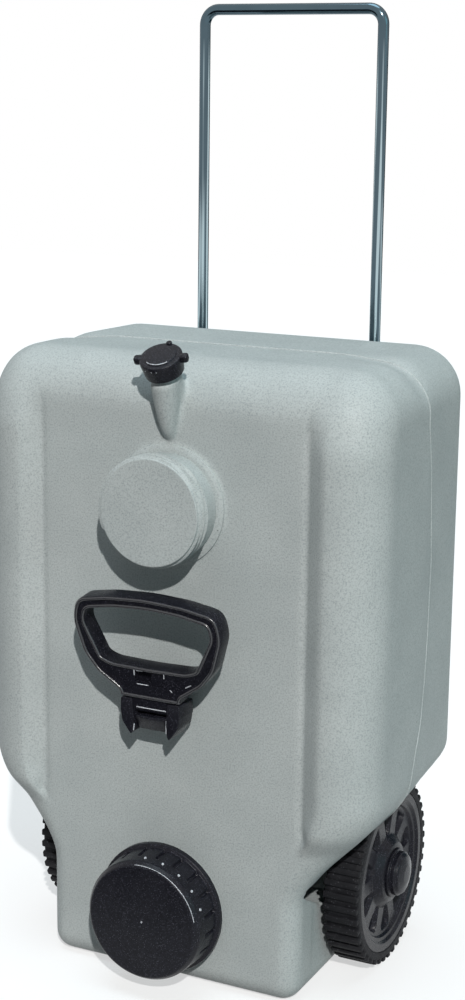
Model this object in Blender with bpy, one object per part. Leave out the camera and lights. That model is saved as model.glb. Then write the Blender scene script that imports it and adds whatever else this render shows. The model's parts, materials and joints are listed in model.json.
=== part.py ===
"""Wheeled water tank: blow-moulded tank on two wheels, with a pull-out handle, caps and a carry handle.

X runs to the tank's right, Y from its front panel to its back and Z up from the floor. Sizes are in
metres, written as millimetres times MM. Outlines measure Y from the front panel, and FRAME then moves
every piece forward, so that the origin is on the floor under the middle of the whole object.
"""

import math

import bmesh
import bpy
from mathutils import Matrix, Vector

MM = 0.001

# Gaps
SEAT = 0.3 * MM  # between pieces that touch
RUN = 0.4 * MM  # between pieces that turn or slide on each other

# Tank shell
TANK_WIDTH = 380 * MM
TANK_DEPTH = 240 * MM
TANK_HEIGHT = 555 * MM
WALL = 3.2 * MM
FOOT_WIDTH = 246 * MM  # lower body, between the wheels
FRONT_RADIUS = 43 * MM  # upright corners of the upper body
BACK_RADIUS = 45 * MM
TOP_RADIUS = 44 * MM
FOOT_RADIUS = 18 * MM
FOOT_BACK_RADIUS = 30 * MM
BACK_DRAFT = 7 * MM  # how far each side leans in behind the parting line
SHOULDER_LOW = 88 * MM  # the narrow foot ends here
SHOULDER_HIGH = 190 * MM  # and the full width starts here
PARTING_DEPTH = 108 * MM  # front panel to parting line
VALLEY_HALF = 126 * MM  # centre to the valley beside the front panel
RIDGE_RISE = 9 * MM
RIDGE_LOW = 140 * MM
RIDGE_FADE = 26 * MM
RIDGE_TOP_BELOW = 20 * MM  # the ridge ends this far under the top

# Wheels and axle
WHEEL_RADIUS = 84 * MM
WHEEL_WIDTH = 32.5 * MM
WHEEL_INSET = 128 * MM  # centre plane to a wheel's inner face
AXLE_DEPTH = 130 * MM  # front panel to axle
AXLE_RADIUS = 6 * MM
TYRE_THICKNESS = 14 * MM
TYRE_LIP = 3.3 * MM
RIM_WALL = 3 * MM
RIM_WEB = 8 * MM
WEB_INSET = 5.5 * MM
HUB_RADIUS = 16.7 * MM
HUB_INNER_RADIUS = 13 * MM
HUB_CAP_WALL = 3 * MM
HUB_CAP_DOME = 8.5 * MM
POCKETS = 6
POCKET_DEPTH = 5 * MM
POCKET_INNER = 25 * MM
POCKET_OUTER = 57 * MM
POCKET_ANGLE = 40  # degrees across each pocket
WELL_GAP = 9 * MM  # wheel to wheel well
WELL_RECESS = 3 * MM  # the well's side wall sits this far inside the foot's
WELL_BACK_RADIUS = 62 * MM
KEEL_GAP = 8 * MM  # the foot's rear stays this far inside the wheels' radius
TUNNEL_WALL = 3 * MM
WASHER_RADIUS = 13 * MM
NUT_RADIUS = 10 * MM
NUT_THICKNESS = 1.6 * MM
AXLE_END = 2.5 * MM  # beyond the push nut

# Wide neck, drain cap and the closed neck
NECK_RADIUS = 48 * MM  # over the thread
NECK_LENGTH = 42 * MM
NECK_WALL = 4 * MM
THREAD_PITCH = 6 * MM
THREAD_DEPTH = 2.2 * MM
THREAD_BASE = 2.6 * MM
THREAD_CREST = 1.3 * MM
NECK_TURNS = 3
CAP_TURNS = 2
DRAIN_HEIGHT = 74 * MM
CAP_FACE_RADIUS = 52 * MM
CAP_SKIRT_RADIUS = 56 * MM
CAP_FLANGE_RADIUS = 59 * MM
CAP_FLANGE_HEIGHT = 7 * MM
CAP_LIFT = 10 * MM  # front panel to the cap's flange
CAP_TOP = 3.5 * MM
CAP_BORE_GAP = 1 * MM
GASKET_THICKNESS = 2.4 * MM
GASKET_WIDTH = 9 * MM
BLANK_HEIGHT = 433 * MM
BLANK_LENGTH = 38 * MM
BLANK_RING = 4 * MM
BLANK_CLEARANCE = 18.5 * MM  # closed neck to the carry handle under it

# Vent spout and cap
VENT_LEAN = 30  # degrees forward of upright
VENT_FORWARD = 15.5 * MM  # front panel to the mouth's centre
VENT_ABOVE_TOP = 2.5 * MM  # the mouth's centre over the tank's top
VENT_RADIUS = 13 * MM
VENT_WALL = 3 * MM
VENT_NECK = 20 * MM
VENT_BORE = 45 * MM
VENT_SHOULDER = 14.5 * MM  # mouth to the spout's shoulder
VENT_SHOULDER_RADIUS = 14.8 * MM
VENT_TIP_BELOW = 66 * MM  # tank top to the spout's pointed end
VENT_SPOUT_HEIGHT = 46 * MM  # the tapering part
VENT_SPOUT_SINK = 3 * MM
VENT_PITCH = 4 * MM
VENT_THREAD = 1.4 * MM
VENT_TURNS = 1.5
VENT_THREAD_BASE = 2.2 * MM
VENT_THREAD_START = -9 * MM
VENT_CAP_RADIUS = 18.2 * MM
VENT_CAP_SKIRT_RADIUS = 16.6 * MM
VENT_CAP_HEIGHT = 17 * MM
VENT_CAP_TOP = 3 * MM
VENT_CAP_THREAD = 1.2 * MM
VENT_SEAL = 1.5 * MM
VENT_LUG_SPAN = 47 * MM
VENT_LUG_TURN = 11  # degrees from the tank's width
VENT_LUG_WIDTH = 7 * MM
VENT_LUG_HEIGHT = 6 * MM
VENT_PIP = 1.8 * MM

# Pull handle
TUBE_RADIUS = 5 * MM
TUBE_WALL = 1.2 * MM
TUBE_SPACING = 176.8 * MM
TUBE_BEND = 14 * MM
TUBE_BEHIND = 11 * MM  # back face to tube centre
HANDLE_ABOVE_TANK = 290 * MM  # tank top to the crossbar's centre
HANDLE_TRAVEL = 280 * MM
GROOVE_GAP = 2.5 * MM
GUIDE_HEIGHT = 26 * MM
GUIDE_WIDTH = 50 * MM
GUIDE_PLATE = 4.5 * MM
GUIDE_BELOW_TOP = 67 * MM  # tank top to the upper guide's middle
GUIDE_SPACING = 136 * MM
SCREW_HEAD = 4 * MM
SCREW_HEAD_HEIGHT = 2.7 * MM
SCREW_SHANK = 2 * MM
SCREW_LENGTH = 9 * MM
SCREW_INSET = 6.5 * MM
SCREW_BOSS = 5 * MM
PLUG_HEAD = 10 * MM
PLUG_HEAD_RADIUS = 7 * MM
PLUG_STEM = 14 * MM

# Carry handle, bracket and hinge
HINGE_FORWARD = 26 * MM
EAR_RADIUS = 8.5 * MM
PIN_RADIUS = 2 * MM
HANDLE_LEAN = 7  # degrees out from the front panel at rest
GRIP_HALF = 70.5 * MM
GRIP_HEIGHT = 100.5 * MM  # hinge to top
GRIP_CORNER = 22 * MM
GRIP_CROWN = 5 * MM  # the top edge's rise to its middle
GRIP_TOP_BAR = 9.5 * MM
GRIP_SIDE_BAR = 9.5 * MM
GRIP_DEPTH = 18 * MM
GRIP_FORWARD = 7 * MM  # hinge to the grip's front face
FLARE_HALF = 55 * MM  # half width where the neck has opened out into the loop
FLARE_HEIGHT = 33 * MM
OPENING_LOW = 38 * MM
OPENING_FOOT_HALF = 44 * MM
OPENING_CORNER = 9 * MM
NECK_HALF = 28 * MM
NECK_HEIGHT = 14 * MM
TONGUE_HALF = 17 * MM
TONGUE_RADIUS = 5.5 * MM
RECESS_HALF = 13.5 * MM
RECESS_HEIGHT = 13 * MM
RECESS_ABOVE = 22 * MM
RECESS_DEPTH = 7 * MM
BRACKET_DROP = 24 * MM  # hinge to the bracket's lower end
BRACKET_FOOT_HALF = 19 * MM
BRACKET_STANDOFF = 9 * MM  # front panel to the bracket's back
BRACKET_WALL = 2 * MM
TAB_HALF = 14 * MM
TAB_SLOT = 1.5 * MM
TAB_REACH = 9 * MM
TAB_THICKNESS = 3.2 * MM
LUG_HALF = 12 * MM
LUG_DEPTH = 14 * MM
LUG_DROP = 21 * MM  # hinge to the lug's lower face
LUG_HEIGHT = 16 * MM

# Facets
ROUND_SIDES = 28
WHEEL_SIDES = 36
SMALL_SIDES = 20
TINY_SIDES = 12

CAP_FACE_DEPTH = -(NECK_LENGTH + 2 * SEAT + GASKET_THICKNESS + CAP_TOP)
REAR_DEPTH = TANK_DEPTH + SEAT + GUIDE_PLATE + SCREW_HEAD_HEIGHT
FRAME = Matrix.Translation((0, -(CAP_FACE_DEPTH + REAR_DEPTH) / 2, 0))
AXLE_HEIGHT = WHEEL_RADIUS
TUBE_DEPTH = TANK_DEPTH - TUBE_BEHIND
HANDLE_TOP = TANK_HEIGHT + HANDLE_ABOVE_TANK
UPPER_GUIDE = TANK_HEIGHT - GUIDE_BELOW_TOP
LOWER_GUIDE = UPPER_GUIDE - GUIDE_SPACING
HINGE_HEIGHT = BLANK_HEIGHT - NECK_RADIUS - BLANK_RING - BLANK_CLEARANCE - GRIP_HEIGHT
BRACKET_LOW = HINGE_HEIGHT - BRACKET_DROP
LUG_LOW = HINGE_HEIGHT - LUG_DROP
LUG_HIGH = LUG_LOW + LUG_HEIGHT
WELL_WALL_X = FOOT_WIDTH / 2 - WELL_RECESS
VENT_AXIS = Vector((0, -math.sin(math.radians(VENT_LEAN)), math.cos(math.radians(VENT_LEAN))))
VENT_MOUTH = Vector((0, -VENT_FORWARD, TANK_HEIGHT + VENT_ABOVE_TOP))


def smooth_step(value, low, high):
    """0 below low, 1 above high, with a soft S between them."""
    share = min(max((value - low) / (high - low), 0), 1)
    return share * share * (3 - 2 * share)


def arc(centre_x, centre_y, radius, start, end, steps):
    """Points of an arc from start to end degrees, both ends in."""
    angles = [math.radians(start + (end - start) * i / steps) for i in range(steps + 1)]
    return [(centre_x + radius * math.cos(a), centre_y + radius * math.sin(a)) for a in angles]


def clear_scene():
    for item in list(bpy.data.objects):
        bpy.data.objects.remove(item, do_unlink=True)


def material(name, colour, roughness, metallic=0):
    made = bpy.data.materials.new(name)
    made.use_nodes = True
    shader = made.node_tree.nodes["Principled BSDF"]
    shader.inputs["Base Color"].default_value = (*colour, 1)
    shader.inputs["Roughness"].default_value = roughness
    shader.inputs["Metallic"].default_value = metallic
    return made


def finished(name, mesh, place=Matrix.Identity(4)):
    """An object made from a bmesh whose faces are turned outwards, in its place in the frame."""
    bmesh.ops.recalc_face_normals(mesh, faces=mesh.faces)
    data = bpy.data.meshes.new(name)
    mesh.to_mesh(data)
    mesh.free()
    data.shade_smooth()
    data.set_sharp_from_angle(angle=math.radians(35))
    item = bpy.data.objects.new(name, data)
    item.matrix_world = FRAME @ place
    bpy.context.collection.objects.link(item)
    return item


def turned(name, outline, sides=ROUND_SIDES, place=Matrix.Identity(4)):
    """A solid turned about local Z from a closed outline of (radius, height) points."""
    mesh = bmesh.new()
    corners = [mesh.verts.new((radius, 0, height)) for radius, height in outline]
    pairs = list(zip(corners, corners[1:] + corners[:1]))
    edges = [mesh.edges.new((a, b)) for a, b in pairs if max(a.co.x, b.co.x) > 0]
    bmesh.ops.spin(mesh, geom=corners + edges, axis=(0, 0, 1), cent=(0, 0, 0),
                   angle=2 * math.pi, steps=sides, use_merge=True)
    bmesh.ops.remove_doubles(mesh, verts=mesh.verts, dist=1e-7)
    bmesh.ops.dissolve_degenerate(mesh, edges=mesh.edges, dist=1e-7)
    return finished(name, mesh, place)


def lofted(name, rings, place=Matrix.Identity(4)):
    """A solid through rings of equal point counts, closed by a face at each end."""
    mesh = bmesh.new()
    loops = [[mesh.verts.new(point) for point in ring] for ring in rings]
    for lower, upper in zip(loops, loops[1:]):
        for i, corner in enumerate(lower):
            j = (i + 1) % len(lower)
            mesh.faces.new((corner, lower[j], upper[j], upper[i]))
    mesh.faces.new(loops[0][::-1])
    mesh.faces.new(loops[-1])
    return finished(name, mesh, place)


def prism(name, outline, low, high, axis="Z", place=Matrix.Identity(4)):
    """A solid whose outline is drawn square to an axis and pulled from low to high along it."""
    order = {"X": lambda u, v, w: (w, u, v), "Y": lambda u, v, w: (u, w, v), "Z": lambda u, v, w: (u, v, w)}
    ends = [[order[axis](u, v, w) for u, v in outline] for w in (low, high)]
    return lofted(name, ends, place)


def box(name, low, high, place=Matrix.Identity(4)):
    outline = [(low[0], low[1]), (high[0], low[1]), (high[0], high[1]), (low[0], high[1])]
    return prism(name, outline, low[2], high[2], "Z", place)


def combine(item, other, operation):
    """Joins another solid to an item, or cuts it away, and keeps the other only as a guide."""
    step = item.modifiers.new(f"{operation}_{other.name}".lower(), "BOOLEAN")
    step.operation = operation
    step.solver = "EXACT"
    step.object = other
    other.hide_render = True
    other.display_type = "WIRE"


def join(item, *others):
    for other in others:
        combine(item, other, "UNION")


def cut(item, *others):
    for other in others:
        combine(item, other, "DIFFERENCE")


def along(direction, origin=(0, 0, 0)):
    """A placement that turns local Z to -Y, +X, -X or the vent's axis."""
    turns = {
        "front": Matrix.Rotation(math.radians(90), 4, "X"),
        "back": Matrix.Rotation(math.radians(-90), 4, "X"),
        "right": Matrix.Rotation(math.radians(90), 4, "Y"),
        "left": Matrix.Rotation(math.radians(-90), 4, "Y"),
        "vent": Matrix.Rotation(math.radians(VENT_LEAN), 4, "X"),
        "up": Matrix.Identity(4),
    }
    return Matrix.Translation(origin) @ turns[direction]


def thread(name, root, crest, start, turns, pitch, base, tip, sides, place, turned_by=0.0):
    """A right-handed helical ridge about local Z, whose ends run out into the root."""
    steps = round(turns * sides)
    fade = sides / 4
    rings = []
    for i in range(steps + 1):
        angle = 2 * math.pi * i / sides + turned_by
        height = start + pitch * i / sides
        share = min(1, (i + 0.5) / fade, (steps - i + 0.5) / fade)
        top = root + (crest - root) * share
        profile = [(root, -base / 2), (top, -tip / 2), (top, tip / 2), (root, base / 2)]
        rings.append([(r * math.cos(angle), r * math.sin(angle), height + z) for r, z in profile])
    return lofted(name, rings, place)


def between_turns(start, neck_start, pitch, sides):
    """The angle at which a cap's thread starts so that it runs midway between the neck's turns."""
    return 2 * math.pi * (start - neck_start) / pitch - math.pi + math.pi / sides


# Tank shell


def full_share(height):
    """0 in the narrow foot, 1 in the full upper body."""
    return smooth_step(height, SHOULDER_LOW, SHOULDER_HIGH)


def back_depth(height, inset):
    """Front panel to the back wall at a height: the foot's rear follows the wheels, to clear the floor."""
    keel = AXLE_HEIGHT - KEEL_GAP - inset
    drop = AXLE_HEIGHT - height
    if drop >= keel:
        return AXLE_DEPTH - 3.4 * (drop - keel)
    curve = AXLE_DEPTH + math.sqrt(keel * keel - max(drop, 0) ** 2)
    return curve + (TANK_DEPTH - inset - AXLE_DEPTH - keel) * full_share(height)


def rounding(height, inset):
    """How far every wall draws in at a height, for the rounded top and bottom edges."""
    top, top_radius = TANK_HEIGHT - inset, TOP_RADIUS - inset
    foot, foot_radius = inset, FOOT_RADIUS - inset
    over = max(height - (top - top_radius), 0)
    under = max((foot + foot_radius) - height, 0)
    drawn = top_radius - math.sqrt(max(top_radius**2 - over**2, 0))
    return drawn + foot_radius - math.sqrt(max(foot_radius**2 - under**2, 0))


def tank_section(height, inset, arc_steps):
    """One level of the tank's outline, from the front panel round the right side and back."""
    share = full_share(height)
    drawn = rounding(height, inset)
    side = FOOT_WIDTH / 2 + (TANK_WIDTH - FOOT_WIDTH) / 2 * share - inset - drawn
    front = inset + drawn
    back = back_depth(height, inset) - drawn
    least = 1.5 * MM
    front_round = max(FOOT_RADIUS + (FRONT_RADIUS - FOOT_RADIUS) * share - inset - drawn, least)
    back_round = max(FOOT_BACK_RADIUS + (BACK_RADIUS - FOOT_BACK_RADIUS) * share - inset - drawn, least)
    ridge = RIDGE_RISE * smooth_step(height, RIDGE_LOW, RIDGE_LOW + RIDGE_FADE)
    ridge_top = TANK_HEIGHT - RIDGE_TOP_BELOW
    ridge *= 1 - smooth_step(height, ridge_top - 2 * RIDGE_FADE, ridge_top)
    crest = side - front_round
    valley = min(VALLEY_HALF, crest - 8 * MM)
    half = []
    for i in range(5):
        x = valley + (crest - valley) * i / 5
        half.append((x, front - ridge * smooth_step(x, valley, crest)))
    half += arc(crest, front - ridge + front_round, front_round, -90, 0, arc_steps)
    parting = min(max(PARTING_DEPTH, front + front_round + least), back - back_round - least)
    half.append((side, parting))
    lean = BACK_DRAFT * share
    return half + arc(side - lean - back_round, back - back_round, back_round, 0, 90, arc_steps)


def tank_levels(inset, arc_steps):
    """Heights of the sections: close together where the walls bend."""
    low, high = inset, TANK_HEIGHT - inset
    foot_radius, top_radius = FOOT_RADIUS - inset, TOP_RADIUS - inset
    quarter = [math.sin(math.radians(90 * i / arc_steps)) for i in range(arc_steps + 1)]
    foot = [low + foot_radius - foot_radius * q for q in reversed(quarter)]
    top = [high - top_radius + top_radius * q for q in quarter]
    shoulder = [SHOULDER_LOW + (SHOULDER_HIGH - SHOULDER_LOW) * i / 8 for i in range(9)]
    keel = [foot[-1] + (SHOULDER_LOW - foot[-1]) * share for share in (0.25, 0.6)]
    ridge = [TANK_HEIGHT - RIDGE_TOP_BELOW - 2 * RIDGE_FADE]
    return foot + keel + shoulder + ridge + top


def tank_form(name, inset, arc_steps):
    """The tank's outer form, or its hollow when inset by the wall."""
    rings = []
    for height in tank_levels(inset, arc_steps):
        half = tank_section(height, inset, arc_steps)
        ring = half + [(-x, y) for x, y in reversed(half)]
        rings.append([(x, y, height) for x, y in ring])
    return lofted(name, rings)


def well_cutter(name, side, inset):
    """The room round one wheel, open below, under the rear half's rounded lower edge."""
    arch = WHEEL_RADIUS + WELL_GAP + inset
    ceiling = AXLE_HEIGHT + arch
    back_radius = WELL_BACK_RADIUS - inset
    rear = TANK_DEPTH - inset
    beyond = TANK_DEPTH + 20 * MM
    outline = arc(AXLE_DEPTH, AXLE_HEIGHT, arch, 180, 90, 8)
    outline += arc(rear - back_radius, ceiling + back_radius, back_radius, 270, 360, 5)
    outline += [(beyond, ceiling + back_radius), (beyond, -10 * MM), (AXLE_DEPTH - arch, -10 * MM)]
    near = WELL_WALL_X - inset
    far = TANK_WIDTH
    low, high = (near, far) if side > 0 else (-far, -near)
    return prism(name, outline, low, high, "X")


def groove_cutter(name, side, extra):
    """The channel for one tube in the back wall."""
    radius = TUBE_RADIUS + GROOVE_GAP + extra
    centre = side * TUBE_SPACING / 2
    rear = TANK_DEPTH + 20 * MM
    outline = [(centre - radius, rear)] + arc(centre, TUBE_DEPTH, radius, 180, 360, 8)
    outline.append((centre + radius, rear))
    return prism(name, outline, SHOULDER_LOW, TANK_HEIGHT + 20 * MM, "Z")


def neck(name, length, height, ring=0.0, sides=ROUND_SIDES):
    """A threaded neck that stands out of the front panel, with or without a raised ring at its base."""
    root = NECK_RADIUS - THREAD_DEPTH
    place = along("front", (0, 0, height))
    outline = [(0, -1.5 * WALL)]
    if ring:
        outline += [(NECK_RADIUS + ring, -1.5 * WALL), (NECK_RADIUS + ring, ring / 2), (NECK_RADIUS, ring)]
        outline.append((root, ring))
    else:
        outline.append((root, -1.5 * WALL))
    outline += [(root, length - MM), (root - MM, length), (0, length)]
    body = turned(name, outline, sides, place)
    start = length - NECK_TURNS * THREAD_PITCH - 3 * MM
    join(body, thread(f"{name}_thread", root - MM, NECK_RADIUS, start, NECK_TURNS, THREAD_PITCH,
                      THREAD_BASE + MM, THREAD_CREST, sides, place, math.pi / sides))
    return body


def spout_ring(share, angles):
    """A level section of the spout, from its pointed foot at share 0 to its full size at share 1."""
    half_width = VENT_SHOULDER_RADIUS * math.sqrt(share)
    half_depth = VENT_SPOUT_SINK + (VENT_FORWARD + 3.5 * MM) * share
    height = TANK_HEIGHT - VENT_TIP_BELOW + VENT_SPOUT_HEIGHT * share
    return [Vector((half_width * math.cos(a), VENT_SPOUT_SINK + half_depth * math.sin(a), height))
            for a in angles]


def vent_spout():
    """The spout: a threaded neck along the vent's axis, over a body that tapers into the front panel."""
    place = along("vent", VENT_MOUTH)
    neck_body = turned("vent_spout", [(0, -VENT_NECK), (VENT_RADIUS, -VENT_NECK), (VENT_RADIUS, 0), (0, 0)],
                       SMALL_SIDES, place)
    angles = [2 * math.pi * (i + 0.5) / SMALL_SIDES for i in range(SMALL_SIDES)]
    across, up = Vector((1, 0, 0)), VENT_AXIS.cross(Vector((1, 0, 0)))
    shoulder = [VENT_MOUTH - VENT_AXIS * VENT_SHOULDER + VENT_SHOULDER_RADIUS * (
        across * math.cos(a) + up * math.sin(a)) for a in angles]
    rings = [spout_ring(share, angles) for share in (0.02, 0.14, 0.32, 0.55, 0.8)] + [shoulder]
    crest = VENT_RADIUS + VENT_THREAD
    join(neck_body, lofted("spout_body", rings),
         thread("vent_thread", VENT_RADIUS - 0.6 * MM, crest, VENT_THREAD_START, VENT_TURNS, VENT_PITCH,
                VENT_THREAD_BASE, 1 * MM, SMALL_SIDES, place, math.pi / SMALL_SIDES))
    return neck_body


def tank_shell(finish):
    """The blow-moulded tank: outer form, necks and spout, less wheel wells, grooves, tunnel and hollow."""
    shell = tank_form("tank_shell", 0, 5)
    hollow = tank_form("tank_hollow", WALL, 3)
    tunnel_radius = AXLE_RADIUS + RUN
    for side, word in ((1, "right"), (-1, "left")):
        cut(shell, well_cutter(f"wheel_well_{word}", side, 0), groove_cutter(f"groove_{word}", side, 0))
        cut(hollow, well_cutter(f"wheel_well_wall_{word}", side, WALL),
            groove_cutter(f"groove_wall_{word}", side, WALL))
    cut(hollow, turned("tunnel_wall", [(0, -FOOT_WIDTH), (tunnel_radius + TUNNEL_WALL, -FOOT_WIDTH),
                                       (tunnel_radius + TUNNEL_WALL, FOOT_WIDTH), (0, FOOT_WIDTH)],
                       SMALL_SIDES, along("right", (0, AXLE_DEPTH, AXLE_HEIGHT))))
    bore = NECK_RADIUS - THREAD_DEPTH - NECK_WALL
    beyond = NECK_LENGTH + 10 * MM
    drain_bore = turned("drain_bore", [(0, -3 * WALL), (bore, -3 * WALL), (bore, beyond), (0, beyond)],
                        ROUND_SIDES, along("front", (0, 0, DRAIN_HEIGHT)))
    end = BLANK_LENGTH - WALL
    blank_bore = turned("blank_bore", [(0, -3 * WALL), (bore, -3 * WALL), (bore, end), (0, end)],
                        ROUND_SIDES, along("front", (0, 0, BLANK_HEIGHT)))
    vent_bore = turned("vent_bore", [(0, -VENT_BORE), (VENT_RADIUS - VENT_WALL, -VENT_BORE),
                                     (VENT_RADIUS - VENT_WALL, 10 * MM), (0, 10 * MM)],
                       SMALL_SIDES, along("vent", VENT_MOUTH))
    join(hollow, drain_bore, blank_bore, vent_bore)
    drain_neck = neck("drain_neck", NECK_LENGTH, DRAIN_HEIGHT)
    blank_neck = neck("blank_neck", BLANK_LENGTH, BLANK_HEIGHT, BLANK_RING)
    lug = box("bracket_lug", (-LUG_HALF, -LUG_DEPTH, LUG_LOW), (LUG_HALF, 0.8 * WALL, LUG_HIGH))
    join(shell, drain_neck, blank_neck, vent_spout(), lug)
    boss_end = SCREW_LENGTH + WALL
    for word, centre, height in screw_places():
        boss = turned(f"screw_boss_{word}", [(0, -WALL), (SCREW_BOSS, -WALL), (SCREW_BOSS, boss_end),
                                             (0, boss_end)], TINY_SIDES,
                      along("front", (centre, TANK_DEPTH - WALL, height)))
        hole = turned(f"screw_hole_{word}", [(0, -5 * MM), (SCREW_SHANK + SEAT, -5 * MM),
                                             (SCREW_SHANK + SEAT, SCREW_LENGTH + SEAT),
                                             (0, SCREW_LENGTH + SEAT)], TINY_SIDES,
                      along("front", (centre, TANK_DEPTH, height)))
        cut(hollow, boss)
        cut(shell, hole)
    cut(shell, hollow, turned("axle_tunnel", [(0, -FOOT_WIDTH), (tunnel_radius, -FOOT_WIDTH),
                                              (tunnel_radius, FOOT_WIDTH), (0, FOOT_WIDTH)],
                              SMALL_SIDES, along("right", (0, AXLE_DEPTH, AXLE_HEIGHT))))
    shell.data.materials.append(finish)
    return shell


# Wheels and axle


def rim_outline():
    """Rim, web and hub in one section, by distance from the axle and from the centre plane."""
    inner, outer = WHEEL_INSET, WHEEL_INSET + WHEEL_WIDTH
    seat = WHEEL_RADIUS - TYRE_THICKNESS - SEAT
    flange = seat + TYRE_LIP
    web = outer - WEB_INSET
    bore = AXLE_RADIUS + RUN
    hub_end = outer + 2 * MM
    return [(bore, inner), (HUB_INNER_RADIUS, inner), (HUB_INNER_RADIUS, web - RIM_WEB),
            (seat - RIM_WALL, web - RIM_WEB), (seat - RIM_WALL, inner + SEAT), (flange, inner + SEAT),
            (flange, inner + 3 * MM), (seat, inner + 3 * MM), (seat, outer - 3 * MM),
            (flange, outer - 3 * MM), (flange, outer - SEAT), (seat - 2 * RIM_WALL, outer - SEAT),
            (POCKET_OUTER + 3 * MM, web),
            (HUB_RADIUS, web), (HUB_RADIUS, hub_end), (bore, hub_end)]


def tyre_outline():
    inner, outer = WHEEL_INSET, WHEEL_INSET + WHEEL_WIDTH
    seat = WHEEL_RADIUS - TYRE_THICKNESS
    lip = seat + TYRE_LIP
    groove = 3 * MM + SEAT
    shoulder = WHEEL_RADIUS - 3 * MM
    return [(seat, inner + groove), (lip, inner + groove), (lip, inner), (shoulder, inner),
            (WHEEL_RADIUS, inner + 2.5 * MM), (WHEEL_RADIUS, outer - 2.5 * MM), (shoulder, outer),
            (lip, outer), (lip, outer - groove), (seat, outer - groove)]


def pocket_outline():
    """A wedge with rounded ends between two spokes."""
    half = POCKET_ANGLE / 2
    outer = arc(0, 0, POCKET_OUTER, -half, half, 4)
    inner = arc(0, 0, POCKET_INNER, half * 0.7, -half * 0.7, 2)
    return outer + inner


def wheel(side, word, plastic, rubber, steel):
    place = along(word, (0, AXLE_DEPTH, AXLE_HEIGHT))
    outer = WHEEL_INSET + WHEEL_WIDTH
    web = outer - WEB_INSET
    rim = turned(f"wheel_rim_{word}", rim_outline(), WHEEL_SIDES, place)
    for i in range(POCKETS):
        spin = place @ Matrix.Rotation(2 * math.pi * (i + 0.5) / POCKETS, 4, "Z")
        cut(rim, prism(f"pocket_{word}_{i}", pocket_outline(), web - POCKET_DEPTH, web + 5 * MM, "Z", spin))
    tyre = turned(f"tyre_{word}", tyre_outline(), WHEEL_SIDES, place)
    hub_end = outer + 2 * MM
    nut_base = hub_end + SEAT
    axle_end = nut_base + NUT_THICKNESS + AXLE_END
    skirt = HUB_RADIUS + SEAT
    dome = axle_end + HUB_CAP_DOME
    cap_radius = skirt + HUB_CAP_WALL
    cap = turned(f"hub_cap_{word}", [(skirt, web + SEAT), (cap_radius, web + SEAT),
                                     (cap_radius, dome - 6 * MM), (cap_radius - 2.5 * MM, dome - 2.5 * MM),
                                     (0.55 * cap_radius, dome - 0.6 * MM), (0, dome),
                                     (0, axle_end + 2 * MM), (skirt, axle_end + 2 * MM)],
                 SMALL_SIDES, place)
    spacer = turned(f"wheel_spacer_{word}", [(AXLE_RADIUS + SEAT, WELL_WALL_X + SEAT),
                                             (WASHER_RADIUS, WELL_WALL_X + SEAT),
                                             (WASHER_RADIUS, WHEEL_INSET - SEAT),
                                             (AXLE_RADIUS + SEAT, WHEEL_INSET - SEAT)], SMALL_SIDES, place)
    nut = turned(f"push_nut_{word}", [(AXLE_RADIUS + SEAT, nut_base), (NUT_RADIUS, nut_base),
                                      (NUT_RADIUS, nut_base + NUT_THICKNESS),
                                      (AXLE_RADIUS + SEAT, nut_base + NUT_THICKNESS)], SMALL_SIDES, place)
    for item, finish in ((rim, plastic), (tyre, rubber), (cap, plastic), (spacer, plastic), (nut, steel)):
        item.data.materials.append(finish)
    return axle_end


def axle_rod(end, steel):
    rod = turned("axle_rod", [(0, -end), (AXLE_RADIUS - MM, -end), (AXLE_RADIUS, MM - end),
                              (AXLE_RADIUS, end - MM), (AXLE_RADIUS - MM, end), (0, end)], SMALL_SIDES,
                 along("right", (0, AXLE_DEPTH, AXLE_HEIGHT)))
    rod.data.materials.append(steel)


# Caps


def drain_cap(plastic, rubber):
    place = along("front", (0, 0, DRAIN_HEIGHT))
    seat = NECK_LENGTH + 2 * SEAT + GASKET_THICKNESS
    face = seat + CAP_TOP
    bore = NECK_RADIUS + CAP_BORE_GAP
    cap = turned("drain_cap", [(bore, CAP_LIFT), (CAP_FLANGE_RADIUS, CAP_LIFT),
                               (CAP_FLANGE_RADIUS, CAP_LIFT + 0.6 * CAP_FLANGE_HEIGHT),
                               (CAP_SKIRT_RADIUS, CAP_LIFT + CAP_FLANGE_HEIGHT),
                               (CAP_SKIRT_RADIUS - 1.5 * MM, face - 4 * MM), (CAP_FACE_RADIUS, face),
                               (0, face), (0, seat), (bore, seat)], ROUND_SIDES, place)
    start = seat - CAP_TURNS * THREAD_PITCH - 6 * MM
    neck_start = NECK_LENGTH - NECK_TURNS * THREAD_PITCH - 3 * MM
    phase = between_turns(start, neck_start, THREAD_PITCH, ROUND_SIDES)
    ridge = thread("drain_cap_thread", bore + MM, bore - THREAD_DEPTH, start, CAP_TURNS, THREAD_PITCH,
                   THREAD_BASE + MM, THREAD_CREST, ROUND_SIDES, place, phase)
    join(cap, ridge)
    gasket_outer = NECK_RADIUS - THREAD_DEPTH
    gasket = turned("drain_gasket", [(gasket_outer - GASKET_WIDTH, NECK_LENGTH + SEAT),
                                     (gasket_outer, NECK_LENGTH + SEAT), (gasket_outer, seat - SEAT),
                                     (gasket_outer - GASKET_WIDTH, seat - SEAT)], ROUND_SIDES, place)
    cap.data.materials.append(plastic)
    gasket.data.materials.append(rubber)


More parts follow.
